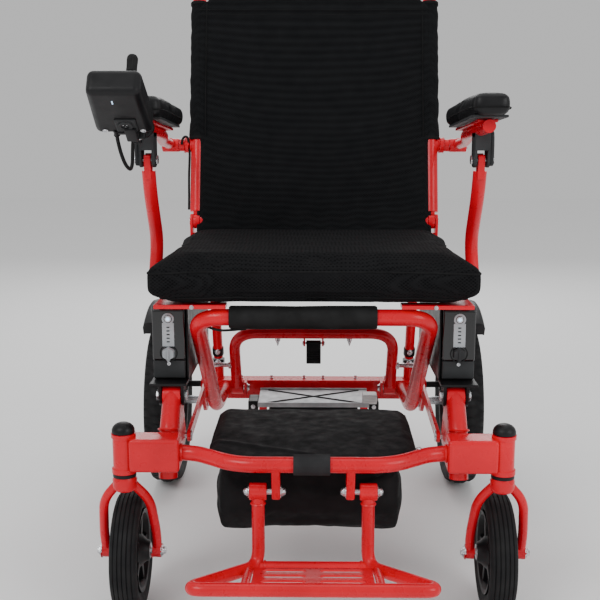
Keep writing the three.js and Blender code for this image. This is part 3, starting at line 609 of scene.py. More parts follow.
class Piece:
    """One finished piece: solids gathered into one mesh, each in the finish chosen last."""

    def __init__(self, name, body, slot, *replaces):
        self.name, self.body, self.slot, self.replaces = name, body, slot, replaces
        self.whole = bmesh.new()
        self.finishes = []
        self.index = 0

    def use(self, finish):
        if finish not in self.finishes:
            self.finishes.append(finish)
        self.index = self.finishes.index(finish)
        return self

    def take(self, part, bevel=0.0, segments=2, move=None):
        if bevel:
            edges = [e for e in part.edges if e.is_manifold and e.calc_face_angle(0) > SHARP]
            bmesh.ops.bevel(part, geom=edges, offset=bevel, segments=segments, profile=0.6,
                            affect="EDGES", clamp_overlap=True)
        if move is not None:
            part.transform(move)
        for face in part.faces:
            face.material_index = self.index
            face.smooth = True
        for edge in part.edges:
            edge.smooth = not (edge.is_manifold and edge.calc_face_angle(0) > SHARP)
        for vert in part.verts:
            vert.co = at(*vert.co)
        mesh = bpy.data.meshes.new("part")
        part.to_mesh(mesh)
        self.whole.from_mesh(mesh)
        bpy.data.meshes.remove(mesh)
        part.free()
        return self

    def bolt(self, place, axis, radius=6, height=5, kind="hex"):
        """A bolt head, washer or domed nut that stands on this point."""
        finish = self.finishes[self.index]
        self.use(STEEL)
        self.take(rod(place, place + axis * 1.2, radius * 1.3), 0.3)
        if kind == "dome":
            self.take(rod(place, place + axis * height * 0.6, radius, 6), 0.5)
            profile = [(radius * 0.86 * math.cos(a), height * (0.6 + 0.75 * math.sin(a)))
                       for a in (math.radians(15 * k) for k in range(7))]
            self.take(turned([(0, height * 0.5), (radius * 0.86, height * 0.5), *profile],
                             place, axis, 24))
        elif kind == "hex":
            self.take(rod(place, place + axis * height, radius, 6), 0.7)
        else:
            head = [(0, -0.5), (radius, -0.5), (radius, height * 0.6), (radius * 0.86, height * 0.9),
                    (radius * 0.7, height), (radius * 0.42, height), (radius * 0.42, height * 0.45),
                    (0, height * 0.45)]
            self.take(turned(head, place, axis, 24))
        self.use(finish)
        return self

    def weld(self, place, axis, radius, bead=1.7):
        """A rippled weld bead round a tube."""
        ring = [(radius + bead * math.cos(a), bead * math.sin(a))
                for a in (math.radians(60 * k) for k in range(6))]
        return self.take(turned(ring, place, axis, 48, ripple=lambda a, i: 0.35 * math.sin(a * 24)))

    def done(self, mesh_only=False):
        mesh = bpy.data.meshes.new(self.name)
        self.whole.to_mesh(mesh)
        self.whole.free()
        for finish in self.finishes:
            mesh.materials.append(finish)
        piece = bpy.data.objects.new(self.name, mesh)
        bpy.context.scene.collection.objects.link(piece)
        if not mesh_only:
            normals = piece.modifiers.new("normals", "WEIGHTED_NORMAL")
            normals.keep_sharp = True
            settle(piece, self.body, self.slot, *self.replaces)
        return piece


def fitted(piece, low, high):
    """Stretches the piece's mesh to fill this box, given in the drawing's millimetres."""
    low, high = at(*low), at(*high)
    for axis in range(3):
        values = [vert.co[axis] for vert in piece.data.vertices]
        least, most = min(values), max(values)
        grow = (high[axis] - low[axis]) / (most - least)
        for vert in piece.data.vertices:
            vert.co[axis] = low[axis] + (vert.co[axis] - least) * grow
    return piece


def settle(piece, body, slot, *replaces):
    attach(piece, body)
    if replaces:
        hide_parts(*replaces)
    return piece


def applied(piece):
    """Makes the piece's modifiers part of its mesh."""
    depsgraph = bpy.context.evaluated_depsgraph_get()
    mesh = bpy.data.meshes.new_from_object(piece.evaluated_get(depsgraph))
    piece.modifiers.clear()
    old, piece.data = piece.data, mesh
    bpy.data.meshes.remove(old)
    return piece


def inflated(piece, voxel, cap, pressure=4.0):
    """Remeshes a closed shape in millimetres and lets air pressure fill it like a cushion."""
    remesh = piece.modifiers.new("remesh", "REMESH")
    remesh.mode = "VOXEL"
    remesh.voxel_size = voxel * MM
    applied(piece)
    rest = [vert.co.copy() for vert in piece.data.vertices]
    cloth = piece.modifiers.new("cloth", "CLOTH")
    cloth.settings.quality = 4
    cloth.settings.mass = 0.3
    cloth.settings.use_pressure = True
    cloth.settings.uniform_pressure_force = pressure
    cloth.settings.effector_weights.gravity = 0
    scene = bpy.context.scene
    for step in range(1, 21):
        scene.frame_set(step)
    shaped = piece.evaluated_get(bpy.context.evaluated_depsgraph_get())
    blown = [vert.co.copy() for vert in shaped.data.vertices]
    piece.modifiers.clear()
    scene.frame_set(1)
    for vert, old, new in zip(piece.data.vertices, rest, blown):
        move = new - old
        if move.length > cap * MM:
            move *= cap * MM / move.length
        vert.co = old + move
    fine = piece.modifiers.new("fine", "SUBSURF")
    fine.levels = fine.render_levels = 1
    applied(piece)
    for face in piece.data.polygons:
        face.use_smooth = True
    return piece


# ---------------------------------------------------------------- rear frame

def rear_frame():
    piece = Piece("rear_frame_tube", "rear_frame", "red_paint", "rear_frame").use(RED)
    sides = [[Vector((s * SIDE_X, BEAM["y0"] - 1.2, 197)), Vector((s * SIDE_X, 345, 214)),
              on(CROSS_TUBE, s * SIDE_X)] for s in (-1, 1)]
    piece.take(swept(bent([*sides[0], *sides[1][::-1]], 42, 12), SIDE_R, 32))
    for s in (-1, 1):
        piece.weld(Vector((s * SIDE_X, BEAM["y0"] - 3, 197)), Y_AXIS, SIDE_R)
    piece.use(GRIP)
    lead = [Vector((-158, 74, 419)), Vector((-150, 64, 416.5)), Vector((-134, 58, 413.5)),
            Vector((-116, 57, 414)), Vector((-96, 58, 415.6))]
    piece.take(swept(smooth_path(lead), 1.8, 12))
    piece.done()


def front_sleeve():
    """Foam sleeve with turned-in ends and a stitched seam along its back."""
    piece = Piece("front_foam_sleeve", "rear_frame", "black_mesh", "front_sleeve").use(FOAM)
    inner = SIDE_R + 0.8
    profile = [(inner, -104), (15.2, -105), (16.6, -103), (16.9, -60), (16.3, -10), (16.9, 40),
               (16.7, 102), (15.3, 105), (inner, 104)]
    swell = lambda a, i: 0.35 * math.sin(3 * a + i) if 1 < i < 7 else 0
    piece.take(turned(profile, on(CROSS_TUBE, -15), X_AXIS, 48, ripple=swell))
    seam = [Vector((x, CROSS_TUBE.y + 2, CROSS_TUBE.z - 16.6)) for x in range(-118, 90, 6)]
    piece.use(BINDING).take(swept(seam, 0.9, 8))
    piece.done()


def axle_beam():
    piece = Piece("axle_beam_welded", "rear_frame", "red_paint", "axle_beam").use(RED)
    piece.take(block(-214, 214, *[BEAM[k] for k in ("y0", "y1", "z0", "z1")]), 4, 3)
    drop = [(522.4, 214), (560, 214), (600, 176), (598, 146), (580, 136), (558, 142), (524, 172)]
    for s in (-1, 1):
        piece.use(RED).take(plate_x(drop, s * 206, s * 213), 1.2)
        piece.take(block(s * 124, s * 129, 486, 523.4, 192, 218), 1)
        piece.take(block(s * 84, s * 98, 425, 523.4, 184, 191.5), 1)
        piece.take(rod(Vector((s * 181, 542, 211)), Vector((s * 181, 542, 238)), 10))
        piece.weld(Vector((s * 181, 542, 212.6)), Z_AXIS, 10)
        piece.use(BLACK).take(block(s * 170, s * 192, 531, 553, 237, 250), 2)
        piece.use(STEEL)
        piece.take(rod_x(s * 200, s * 312, on(WHEEL, 0), 8))
        piece.take(rod_x(s * 124, s * 154, HOOP_PIVOT, PIN_R))
        piece.take(rod_x(s * 198, s * 206, on(WHEEL, 0), 14, 6), 1)
        piece.take(rod_x(s * 311.4, s * 314, on(WHEEL, 0), 15))
        piece.take(rod_x(s * 313.4, s * 318, on(WHEEL, 0), 12.4, 6), 0.8)
        piece.bolt(Vector((s * 123.8, HOOP_PIVOT.y, HOOP_PIVOT.z)), X_AXIS * -s, 6, 4)
        piece.bolt(Vector((s * 181, 530.8, 243.5)), Y_AXIS * -1, 5, 3.4, "cap")
        for x in (18, 80, 137):
            piece.bolt(Vector((s * x, 540, BEAM["z1"])), Z_AXIS, 2.6, 6.5)
    piece.done()


def seat_strut(name, s):
    piece = Piece(f"seat_strut_tube_{name}", "rear_frame", "red_paint", f"seat_strut_{name}")
    low, high = Vector((s * 181, 541, 254)), Vector((s * 181, 477, 419))
    along = (high - low).normalized()
    piece.use(RED).take(rod(low, high, 9), 0.8)
    for place in (low + along * 6, high - along * 20):
        piece.use(BLACK).take(rod(place, place + along * 15, 10.8), 1.2)
        piece.bolt(place + along * 7.5 + Y_AXIS * -10.4, Y_AXIS * -1, 4, 3, "cap")
    piece.done()


def seat_frame():
    piece = Piece("seat_frame_welded", "rear_frame", "red_paint", "seat_frame").use(RED)

    def bar(y0, y1, x0, x1):
        top0, top1 = seat_z(y0) - BAR_DROP, seat_z(y1) - BAR_DROP
        outline = [(y0, top0 - BAR_THICK), (y1, top1 - BAR_THICK), (y1, top1), (y0, top0)]
        piece.take(plate_x(outline, x0, x1), 1.2)

    piece.take(rod_x(-224, 224, Vector((0, 450, 419)), 10), 1)
    ear = [(468, 492), (492, 492), (494, 522), (488, 532), (474, 533), (466, 524)]
    lug = [(192, 438.6), (218, 438.6), (216, 474), (205, 479), (194, 474)]
    for s in (-1, 1):
        piece.use(RED)
        bar(48, 490, s * 180, s * 226)
        bar(48, 78, s * 124, s * 182)
        stump = [Vector((s * BACK_X, 452, 421)), Vector((s * BACK_X, 479, 432)),
                 Vector((s * BACK_X, 480, 500))]
        piece.take(swept(bent(stump, 20), 10.5))
        piece.take(plate_x(ear, s * 198.5, s * 203.4), 1)
        piece.take(plate_x(ear, s * 216.6, s * 221.5), 1)
        piece.take(block(s * 199, s * 221, 472, 488, 486, 500), 1)
        piece.take(block(s * 225, s * 239, 192, 218, 438.6, 443), 1)
        piece.take(plate_x(lug, s * 234.6, s * 239.4), 1)
        piece.weld(Vector((s * 196, 450, 419)), X_AXIS, 10)
        piece.use(STEEL)
        piece.take(rod_x(s * 197, s * 223, BACK_HINGE, PIN_R))
        piece.take(rod_x(s * 236, s * 256, POST_FOOT, PIN_R))
        piece.bolt(on(BACK_HINGE, s * 221.4), X_AXIS * s, 6, 2.6, "cap")
        piece.bolt(on(BACK_HINGE, s * 198.6), X_AXIS * -s, 6, 4)
        piece.bolt(on(POST_FOOT, s * 252.4), X_AXIS * s, 6, 4, "dome")
        piece.bolt(Vector((s * 172, 48, 448.7)), Y_AXIS * -1, 2.4, 2.4, "cap")
    piece.done()


def mudguard(name, s):
    """Thin moulded guard with a rolled rim and its steel stay."""
    piece = Piece(f"mudguard_{name}", "rear_frame", "grey_parts", f"fender_{name}").use(GUARD)
    shell = [(168, -34), (184, -34), (190, -32), (194, -29), (196, -22), (196, 22), (194, 29),
             (190, 32), (184, 34), (168, 34), (168, 31), (184, 31), (189, 29), (192, 26), (193, 21),
             (193, -21), (192, -26), (189, -29), (184, -31), (168, -31)]
    centre = on(WHEEL, s * WHEEL.x)
    piece.take(turned(shell, centre, X_AXIS, 60, (45, 118)))
    piece.take(turned([(168, -33), (192, -31), (192, 31), (168, 33)], centre, X_AXIS, 4, (114.5, 118)), 2)
    for offset in (-12, 12):
        piece.take(turned([(195.4, offset - 1.4), (197.4, offset), (195.4, offset + 1.4)], centre,
                          X_AXIS, 60, (48, 114)))
    piece.use(BLACK)
    piece.take(plate_x([(553, 186), (569, 186), (569, 336), (553, 336)], s * 242, s * 247.4), 1.2)
    piece.take(rod_x(s * 214.4, s * 243, Vector((0, 561, 195)), 6))
    for z in (214, 322):
        piece.bolt(Vector((s * 241.8, 561, z)), X_AXIS * -s, 4.6, 3)
    piece.done()


def motor_controller():
    """Sealed controller: cast lid with crossed ribs, dark connectors and a white plug."""
    piece = Piece("motor_controller_unit", "rear_frame", "grey_parts", "motor_controller")
    piece.use(BLACK).take(block(-80, 80, 418, 508, 154, 193), 5, 3)
    piece.use(CAST).take(block(-100, 100, 414, 512, 192, 198), 1.6)
    for y in (414, 509):
        piece.take(block(-100, 100, y, y + 3, 197, 201), 0.8)
    piece.use(BLACK)
    for s in (-1, 1):
        piece.take(swept([Vector((-84, 463 - s * 42, 198)), Vector((84, 463 + s * 42, 198))], 2, 12))
        piece.take(block(s * 100, s * 118, 425, 470, 180, 200), 2.4, 3)
        piece.bolt(Vector((s * 109, 424.6, 190)), Y_AXIS * -1, 3, 2, "cap")
        piece.use(BLACK)
    piece.use(WHITE).take(block(88, 114, 414, 440, 198, 215), 2.6, 3)
    for z in (203, 207, 211):
        piece.take(block(90, 112, 412.9, 415, z - 0.9, z + 0.9), 0.4)
    piece.done()


def battery_tray(name, s):
    piece = Piece(f"battery_tray_welded_{name}", "rear_frame", "black_plastic", f"battery_tray_{name}")
    y0, y1, z0 = BATTERY["y0"], BATTERY["y1"], BATTERY["z0"]
    floor = lambda y: z0 - 1 - SEAT_SLOPE * (y - y0)
    under = lambda y: seat_z(y) - BAR_DROP - BAR_THICK - 0.4
    back = y1 + 4
    piece.use(BLACK)
    piece.take(plate_x([(62, floor(62) - 4), (back, floor(y1) - 4), (back, floor(y1)),
                        (62, floor(62))], s * 183.5, s * 237), 0.9)
    piece.take(plate_x([(98, floor(98) - 4), (back, floor(y1) - 4), (back, under(back)),
                        (98, under(98))], s * 183.5, s * 186.6), 0.8)
    ear = [(64, 306), (72, 298), (86, 298), (94, 308), (100, floor(100) - 1), (62, floor(62) - 1)]
    piece.take(plate_x(ear, s * 187.5, s * 191.8), 1)
    piece.take(plate_x(ear, s * 220.2, s * 224.5), 1)
    piece.use(STEEL).take(rod_x(s * 184, s * 229, FOLD_PIVOT, 4.8))
    piece.take(rod_x(s * 183.6, s * 188, FOLD_PIVOT, 8, 6), 0.8)
    piece.take(rod_x(s * 224, s * 228.5, FOLD_PIVOT, 8, 6), 0.8)
    piece.done()


def battery(name, s):
    """Battery pack: polished shell, a matt foot whose lighter grey is painted light on the pack's lower face,
    ribbed outer side and a charge display strip.
    """
    piece = Piece(f"battery_pack_{name}", f"battery_{name}", "battery_gloss", f"battery_{name}")
    x, half = s * BATTERY["x"], BATTERY["width"] / 2
    y0, y1, z0, height = (BATTERY[k] for k in ("y0", "y1", "z0", "height"))
    drop = lambda y: SEAT_SLOPE * (y - y0)
    split = 29
    shell = [(y0 + 0.4, z0 + split), (y1, z0 + split - drop(y1)), (y1, z0 + height - drop(y1)),
             (y0 + 6, z0 + height), (y0, z0 + height - 6)]
    foot = [(y0 + 5, z0), (y1 - 1, z0 - drop(y1)), (y1 - 1, z0 + split - 0.3 - drop(y1)),
            (y0 + 1.6, z0 + split - 0.3), (y0 + 1.6, z0 + 4)]
    recess = rod(Vector((x, y0 - 3, BUTTON_Z)), Vector((x, y0 + 4.4, BUTTON_Z)), 5.5, 32)
    piece.use(GLOSS).take(carved(rounded(plate_x(shell, x - half, x + half), 3.2), recess))
    # The foot's lighter grey is painted light: it stands in for the light falling on the pack's lower face.
    piece.use(MATT_GREY).take(plate_x(foot, x - half + 0.6, x + half - 0.6), 2.2, 2)
    piece.use(BLACK)
    for y in range(int(y0) + 40, int(y1) - 30, 14):
        piece.take(block(x + s * half - 0.9 * s, x + s * (half + 0.6), y, y + 7,
                         z0 + 46 - drop(y), z0 + 84 - drop(y)), 0.5)
    piece.use(LIGHT_GREY)
    piece.take(block(x - 8.7, x + 8.7, y0 - 1.1, y0 + 1, 383, BUTTON_Z - 6), 0.8)
    piece.take(turned([(5.6, -0.6), (8.7, -0.6), (8.7, 0.7), (8.1, 1.2), (5.9, 1.2)],
                      Vector((x, y0, BUTTON_Z)), Y_AXIS * -1, 40))
    piece.use(BLACK)
    for k in range(5):
        piece.take(block(x - 2.2, x + 2.2, y0 - 1.5, y0 - 1.0,
                         411 - 5.4 * k, 412.6 - 5.4 * k))
    piece.take(turned([(11.2, 0.1), (13.0, 0.1), (12.6, 1.0), (11.4, 1.0)],
                      Vector((x, y0, KNOB_Z)), Y_AXIS * -1, 40))
    piece.bolt(Vector((x, y0 + 1.6, 357)), Y_AXIS * -1, 2, 1.2, "cap")
    piece.done()


def battery_knob(name, s):
    """Hexagonal latch knob with a pointer on its rim, light grey on the left as painted light and dark grey
    on the right as painted shade.
    """
    piece = Piece(f"battery_latch_knob_{name}", f"battery_knob_{name}", "grey_parts",
                  f"battery_knob_{name}")
    centre = Vector((s * BATTERY["x"], BATTERY["y0"] - 0.4, KNOB_Z))
    # Lit and shaded copies of one knob: the left knob's light grey is painted light, the right knob's dark
    # grey is painted shade.
    piece.use(LIGHT_GREY if s < 0 else MATT_GREY)
    piece.take(rod(centre, centre - Y_AXIS * 8, 10.4, 6, 9.2), 1.0)
    piece.take(block(centre.x - 1.5, centre.x + 1.5, centre.y - 10, centre.y - 7, 366, 380), 0.8)
    point = [(-3, -8.5), (3, -8.5), (0, -13.6)]
    near, far = ([centre + Vector((x, -rise, z)) for x, z in point] for rise in (5.4, 2.4))
    piece.take(prism(near, far), 0.3)
    piece.done()


def battery_button(name, s):
    piece = Piece(f"battery_power_button_{name}", f"battery_button_{name}", "bright_steel",
                  f"battery_button_{name}")
    centre = Vector((s * BATTERY["x"], BATTERY["y0"], BUTTON_Z))
    profile = [(0, -1.8), (5, -1.8), (5, 1.0), (4.4, 1.6), (0, 1.6)]
    piece.use(STEEL).take(turned(profile, centre, Y_AXIS * -1, 32))
    piece.use(LED).take(turned([(0, 1.55), (2.7, 1.55), (2.2, 2.0), (0, 2.1)], centre, Y_AXIS * -1, 24))
    piece.done()


# ---------------------------------------------------------------- wheels

def tyre(name, body, slot, centre, radius, half, bead, blocks, depth, node):
    """A tyre: staggered tread blocks, sipes and a ribbed side wall, or with no depth a few
    fine grooves that run right round."""
    rows = 9 if depth else 33
    tread = [(radius * (1 - 0.045 * abs(t) ** 2.4), half * 0.86 * t)
             for t in (2 * k / (rows - 1) - 1 for k in range(rows))]
    if not depth:
        tread = [(r - (1.5 if k in (4, 10, 16, 22, 28) else 0), w) for k, (r, w) in enumerate(tread)]
    right = [(radius * 0.915, half * 0.97), (radius * 0.87, half), (radius * 0.82, half * 0.98),
             (bead + radius * 0.035, half * 0.86), (bead, half * 0.8)]
    left = [(r, -w) for r, w in reversed(right)]
    profile = [*left, *tread, *right]
    first = len(left)
    sides = blocks * 6

    def groove(angle, i):
        row = i - first
        if 0 <= row < rows:
            lane = abs(row - rows // 2)
            if lane == 2:
                return depth * 0.8
            turn = angle * blocks / (2 * math.pi) + (0.5 if lane > 2 else 0.0) + 0.08 * lane
            return depth if turn % 1 < 0.3 else 0
        if i in (first - 2, first + rows + 1):
            return 0.8 if (angle * blocks / (2 * math.pi)) % 1 < 0.5 else 0
        return 0

    piece = Piece(name, body, slot, node).use(TYRE)
    piece.take(turned(profile, centre, X_AXIS, sides, ripple=groove if depth else None))
    piece.done()


def rear_tyre(name, s):
    tyre(f"rear_tyre_treaded_{name}", f"rear_wheel_{name}", "tyre_rubber", on(WHEEL, s * WHEEL.x),
         WHEEL.z, 28.5, 118.4, 60, 3.2, f"rear_tyre_{name}")


def caster_tyre(name, s):
    tyre(f"caster_tyre_smooth_{name}", f"caster_wheel_{name}", "tyre_rubber",
         on(CASTER, s * CASTER.x), CASTER_R, 19.5, 60.6, 24, 0, f"caster_tyre_{name}")


def hub_motor(name, s):
    """Hub motor with its rim, bolted cover and cooling ribs."""
    piece = Piece(f"hub_motor_wheel_{name}", f"rear_wheel_{name}", "grey_parts", f"hub_motor_{name}")
    centre = on(WHEEL, s * WHEEL.x)
    profile = [(8.4, -25), (32, -25), (34, -24), (38, -19), (80, -17), (83, -15), (88, -9), (104, -9),
               (107, -21), (109, -23), (117.6, -23), (116, -20), (112, -14), (112, 14), (116, 20),
               (117.6, 23), (109, 23), (107, 21), (104, 9), (88, 9), (83, 18), (80, 20), (38, 23),
               (34, 28), (32, 29), (8.4, 29)]
    piece.use(HUB).take(turned([(r, s * x) for r, x in profile], centre, X_AXIS, 96))
    for k in range(10):
        turn = Matrix.Translation(centre) @ Matrix.Rotation(math.radians(36 * k), 4, "X")
        piece.take(block(-19, 19, 80, 110, -5, 5), 2.4, 2, turn)
    for k in range(24):
        turn = Matrix.Translation(centre) @ Matrix.Rotation(math.radians(15 * k), 4, "X")
        piece.take(block(s * 18.5, s * 21.6, 44, 77, -1.4, 1.4), 0.7, 2, turn)
    for k in range(6):
        a = math.radians(60 * k + 30)
        spot = centre + Vector((s * 21.5, 41 * math.cos(a), 41 * math.sin(a)))
        piece.bolt(spot, X_AXIS * s, 3.6, 2.6, "cap")
    piece.done()


def caster_hub(name, s):
    piece = Piece(f"caster_wheel_centre_{name}", f"caster_wheel_{name}", "black_plastic",
                  f"caster_hub_{name}")
    centre = on(CASTER, s * CASTER.x)
    profile = [(5.4, -27), (13, -27), (14, -26), (17, -20), (30, -7), (50, -7), (54, -17), (60, -18),
               (58, -12), (58, 12), (60, 18), (54, 17), (50, 7), (30, 7), (17, 20), (14, 26), (13, 27),
               (5.4, 27)]
    piece.use(BLACK).take(turned(profile, centre, X_AXIS, 72))
    for k in range(5):
        turn = Matrix.Translation(centre) @ Matrix.Rotation(math.radians(72 * k), 4, "X")
        piece.take(plate_x([(14, -6), (54, -4), (54, 4), (14, 6)], -14, 14), 2, 2, turn)
    piece.use(STEEL)
    for side in (-1, 1):
        piece.take(turned([(5.6, side * 26.6), (11, side * 26.6), (11, side * 27.6), (5.6, side * 27.8)],
                          centre, X_AXIS, 36))
    piece.done()


# ---------------------------------------------------------------- front frame

def front_frame():
    piece = Piece("front_frame_welded", "front_frame", "red_paint", "front_frame").use(RED)
    side = lambda s: [Vector((s * 184, 4, 250)), Vector((s * 160, -2, 250)), Vector((s * 106, -45, 250))]
    piece.take(swept(bent([*side(-1), *side(1)[::-1]], 30, 12), 11, 32))
    gusset = [(24, 236), (44, 268), (76, 322), (88, 318), (120, 244), (114, 231), (100, 229), (60, 240)]
    bracket = [(-57, 252), (-34, 252), (-19, 208), (-23, 196), (-37, 196), (-42, 208)]
    for s in (-1, 1):
        piece.use(RED)
        leg = [Vector((s * LEG_X, 17, 208)), Vector((s * LEG_X, 26, 262)), Vector((s * LEG_X, 78, 314))]
        bore = rod_x(s * 190, s * 222, FOLD_PIVOT, FOLD_BORE)
        piece.take(carved(swept(bent(leg, 34), LEG_R, 32), bore))
        web = plate_x(gusset, s * 192.6, s * 198)
        piece.take(carved(web, rod_x(s * 190, s * 222, FOLD_PIVOT, FOLD_BORE)), 1)
        piece.take(barrel(s * 192.6, s * 219.4, FOLD_PIVOT, 15, FOLD_BORE))
        piece.take(block(s * 186, s * 256, -19, 21, 227, 275), 6, 4)
        tube = [(9.4, 222), (14.5, 222), (15.5, 223), (15.5, 279), (14.5, 280), (9.4, 280)]
        low_ring = [(15, 222), (17.4, 222.6), (17.4, 229), (15, 231)]
        high_ring = [(15, 272), (17.2, 274), (17.2, 279.6), (15, 280)]
        for ring, sides in ((tube, 48), (low_ring, 40), (high_ring, 40)):
            piece.take(turned(ring, X_AXIS * s * CASTER.x, Z_AXIS, sides))
        piece.take(plate_x(bracket, s * 45, s * 57), 3, 3)
        piece.weld(Vector((s * 185, 4, 250)), X_AXIS, 11, 2.2)
        piece.weld(Vector((s * LEG_X, 24, 226.4)), Z_AXIS, LEG_R)
        piece.weld(Vector((s * LEG_X, 29, 275.6)), Vector((0, 0.35, 0.94)), LEG_R)
        piece.use(STEEL).take(rod_x(s * 182, s * 196, LINK_FRONT, PIN_R))
        piece.take(rod_x(s * 38, s * 94, FOOT_HINGE, PIN_R))
        piece.bolt(on(LINK_FRONT, s * 183.2), X_AXIS * -s, 6.6, 1.6, "cap")
        piece.bolt(on(FOOT_HINGE, s * 45.2), X_AXIS * -s, 6.6, 6, "dome")
        piece.bolt(on(FOOT_HINGE, s * 88.4), X_AXIS * s, 6.6, 6, "dome")
    piece.bolt(Vector((146, -8, 260.6)), Z_AXIS, 3, 2.4, "cap")
    piece.done()


def caster_cap(name, s):
    piece = Piece(f"head_tube_cap_{name}", "front_frame", "black_plastic", f"caster_cap_{name}")
    dome = [(0, 280.4), (15.6, 280.4), (16.2, 281.4), (16, 285), (14.6, 288.6), (11.6, 291.8),
            (7.4, 294), (0, 295)]
    piece.use(BLACK).take(turned(dome, Vector((s * CASTER.x, 0, 0)), Z_AXIS, 48))
    piece.done()


def caster_fork(name, s):
    """Fork: turned crown, two bowed legs that spread round the wheel, and the wheel bolt."""
    piece = Piece(f"caster_fork_bowed_{name}", f"caster_fork_{name}", "red_paint", f"caster_fork_{name}")
    x = s * CASTER.x
    axle = on(CASTER, x)
    piece.use(STEEL).take(rod(Vector((x, 0, 215)), Vector((x, 0, 277)), 8.5))
    piece.take(rod_x(x - 50, x + 50, axle, 5))
    piece.use(BLACK).take(turned([(9, 217), (16.4, 217), (16.4, 221.6), (9, 221.6)],
                                 Vector((x, 0, 0)), Z_AXIS, 40))
    piece.use(RED).take(turned([(0, 196), (13, 196), (16, 198), (17, 202), (17, 213), (15, 217), (0, 217)],
                               Vector((x, 0, 0)), Z_AXIS, 48))
    for side in (-1, 1):
        leg = [Vector((x + side * 8, 2, 207)), Vector((x + side * 33, 10, 178)),
               Vector((x + side * 38, 30, 118)), Vector((x + side * 37, CASTER.y, CASTER.z))]
        piece.use(RED).take(swept(bent(leg, 24, 12), 6.8, 28))
        piece.take(rod_x(x + side * 30.6, x + side * 43.4, axle, 10, 36), 1.6)
        piece.weld(Vector((x + side * 13, 2.4, 206.4)), Vector((side * 0.9, 0.1, -0.43)).normalized(), 6.4)
        if side < 0:
            piece.bolt(on(axle, x - 42.8), X_AXIS * -1, 7.4, 5)
        else:
            piece.bolt(on(axle, x + 42.8), X_AXIS, 7.4, 5, "dome")
    piece.done()


def footrest_frame():
    piece = Piece("footrest_tubes", "footrest", "red_paint", "footrest_frame").use(RED)
    half = lambda s: [Vector((s * FOOT_X, FOOT_HINGE.y, FOOT_HINGE.z - 4)), on(FOOT_BACK, s * FOOT_X),
                      on(FOOT_FRONT, s * 164)]
    bores = [rod_x(s * 60, s * 92, FOOT_HINGE, PIN_BORE) for s in (-1, 1)]
    piece.take(carved(swept(bent([*half(-1), *half(1)[::-1]], 26, 10), 9, 32), *bores))
    piece.take(rod_x(-FOOT_X, FOOT_X, Vector((0, FOOT_BACK.y - 6, FOOT_BACK.z + 2)), 7))
    for s in (-1, 1):
        piece.use(RED).take(rod(Vector((s * 88, -50, 101.3)), on(FOOT_FRONT, s * 88), 6))
        piece.take(barrel(s * 64, s * 88, FOOT_HINGE, 12, PIN_BORE))
        piece.weld(Vector((s * FOOT_X, FOOT_HINGE.y - 0.4, FOOT_HINGE.z - 17)), Z_AXIS, 9.2)
        piece.weld(Vector((s * (FOOT_X - 9), FOOT_BACK.y - 6, FOOT_BACK.z + 2)), X_AXIS, 7)
    piece.done()


def footplate():
    """Foot platform: pressed plate with two columns of slots."""
    piece = Piece("foot_platform_plate", "footrest", "red_paint", "footplate").use(RED)
    tilt = -math.atan2(FOOT_FRONT.z - FOOT_BACK.z, FOOT_BACK.y - FOOT_FRONT.y)
    corners = [(-80, -50), (80, -50), (80, 44), (-80, 44)]
    slots = [(column, row, 22, 8) for column in (-39, 39) for row in (-33, -3, 27)]
    move = Matrix.Translation((0, -96, 112)) @ Matrix.Rotation(tilt, 4, "X")
    piece.take(slotted_plate(corners, slots, 3), move=move)
    piece.done()


# ---------------------------------------------------------------- lock hoop and links

def lock_hoop():
    piece = Piece("lock_hoop_tube", "lock_hoop", "red_paint", "lock_hoop").use(RED)
    half = lambda s: [on(HOOP_PIVOT, s * HOOP_X), on(HOOP_BAR, s * HOOP_X)]
    bores = [rod_x(s * 128, s * 156, HOOP_PIVOT, PIN_BORE) for s in (-1, 1)]
    piece.take(carved(swept(bent([*half(-1), *half(1)[::-1]], 44, 12), HOOP_R, 32), *bores))
    for s in (-1, 1):
        piece.use(RED).take(barrel(s * 131, s * 153.4, HOOP_PIVOT, 12, PIN_BORE))
        piece.take(block(s * 15, s * 18, 424, 436, 302, 322), 1)
        piece.weld(on(HOOP_PIVOT, s * HOOP_X) + Vector((0, -5, 13)), Vector((0, -0.5, 0.86)), 9.6)
        piece.use(STEEL)
        piece.take(rod_x(s * HOOP_X, s * 183.5, LINK_REAR, PIN_R))
        piece.take(rod_x(s * 150, s * 156, LINK_REAR, 7), 0.8)
        piece.take(rod(Vector((s * 64, HOOP_BAR.y, 302)), Vector((s * 64, HOOP_BAR.y, 311)), 0.8, 20, 3.6))
        piece.take(rod(Vector((s * 64, HOOP_BAR.y, 310.8)), Vector((s * 64, HOOP_BAR.y, 317)), 4.6, 20), 0.6)
        piece.bolt(on(TONGUE_PIN, s * 18), X_AXIS * s, 3.2, 2, "cap")
    piece.use(STEEL).take(rod_x(-17, 17, TONGUE_PIN, 2, 16))
    piece.done()


def latch_tongue():
    """Release tongue with a raised rim and finger ribs."""
    piece = Piece("latch_release_tongue", "latch_tongue", "black_plastic", "latch_tongue").use(BLACK)
    outline = [(426.4, 272), (428, 269), (433, 269), (434.6, 272), (434.6, 309), (432, 312),
               (428, 312), (425.4, 309)]
    hole = rod_x(-15, 15, TONGUE_PIN, 2.5)
    piece.take(carved(rounded(plate_x(outline, -13, 13), 1.6), hole))
    for x in (-11.4, 11.4):
        piece.take(block(x - 1, x + 1, 424.2, 427, 273, 306), 0.7)
    for z in range(276, 292, 4):
        piece.take(block(-9, 9, 424.4, 427, z, z + 1.8), 0.7)
    piece.done()


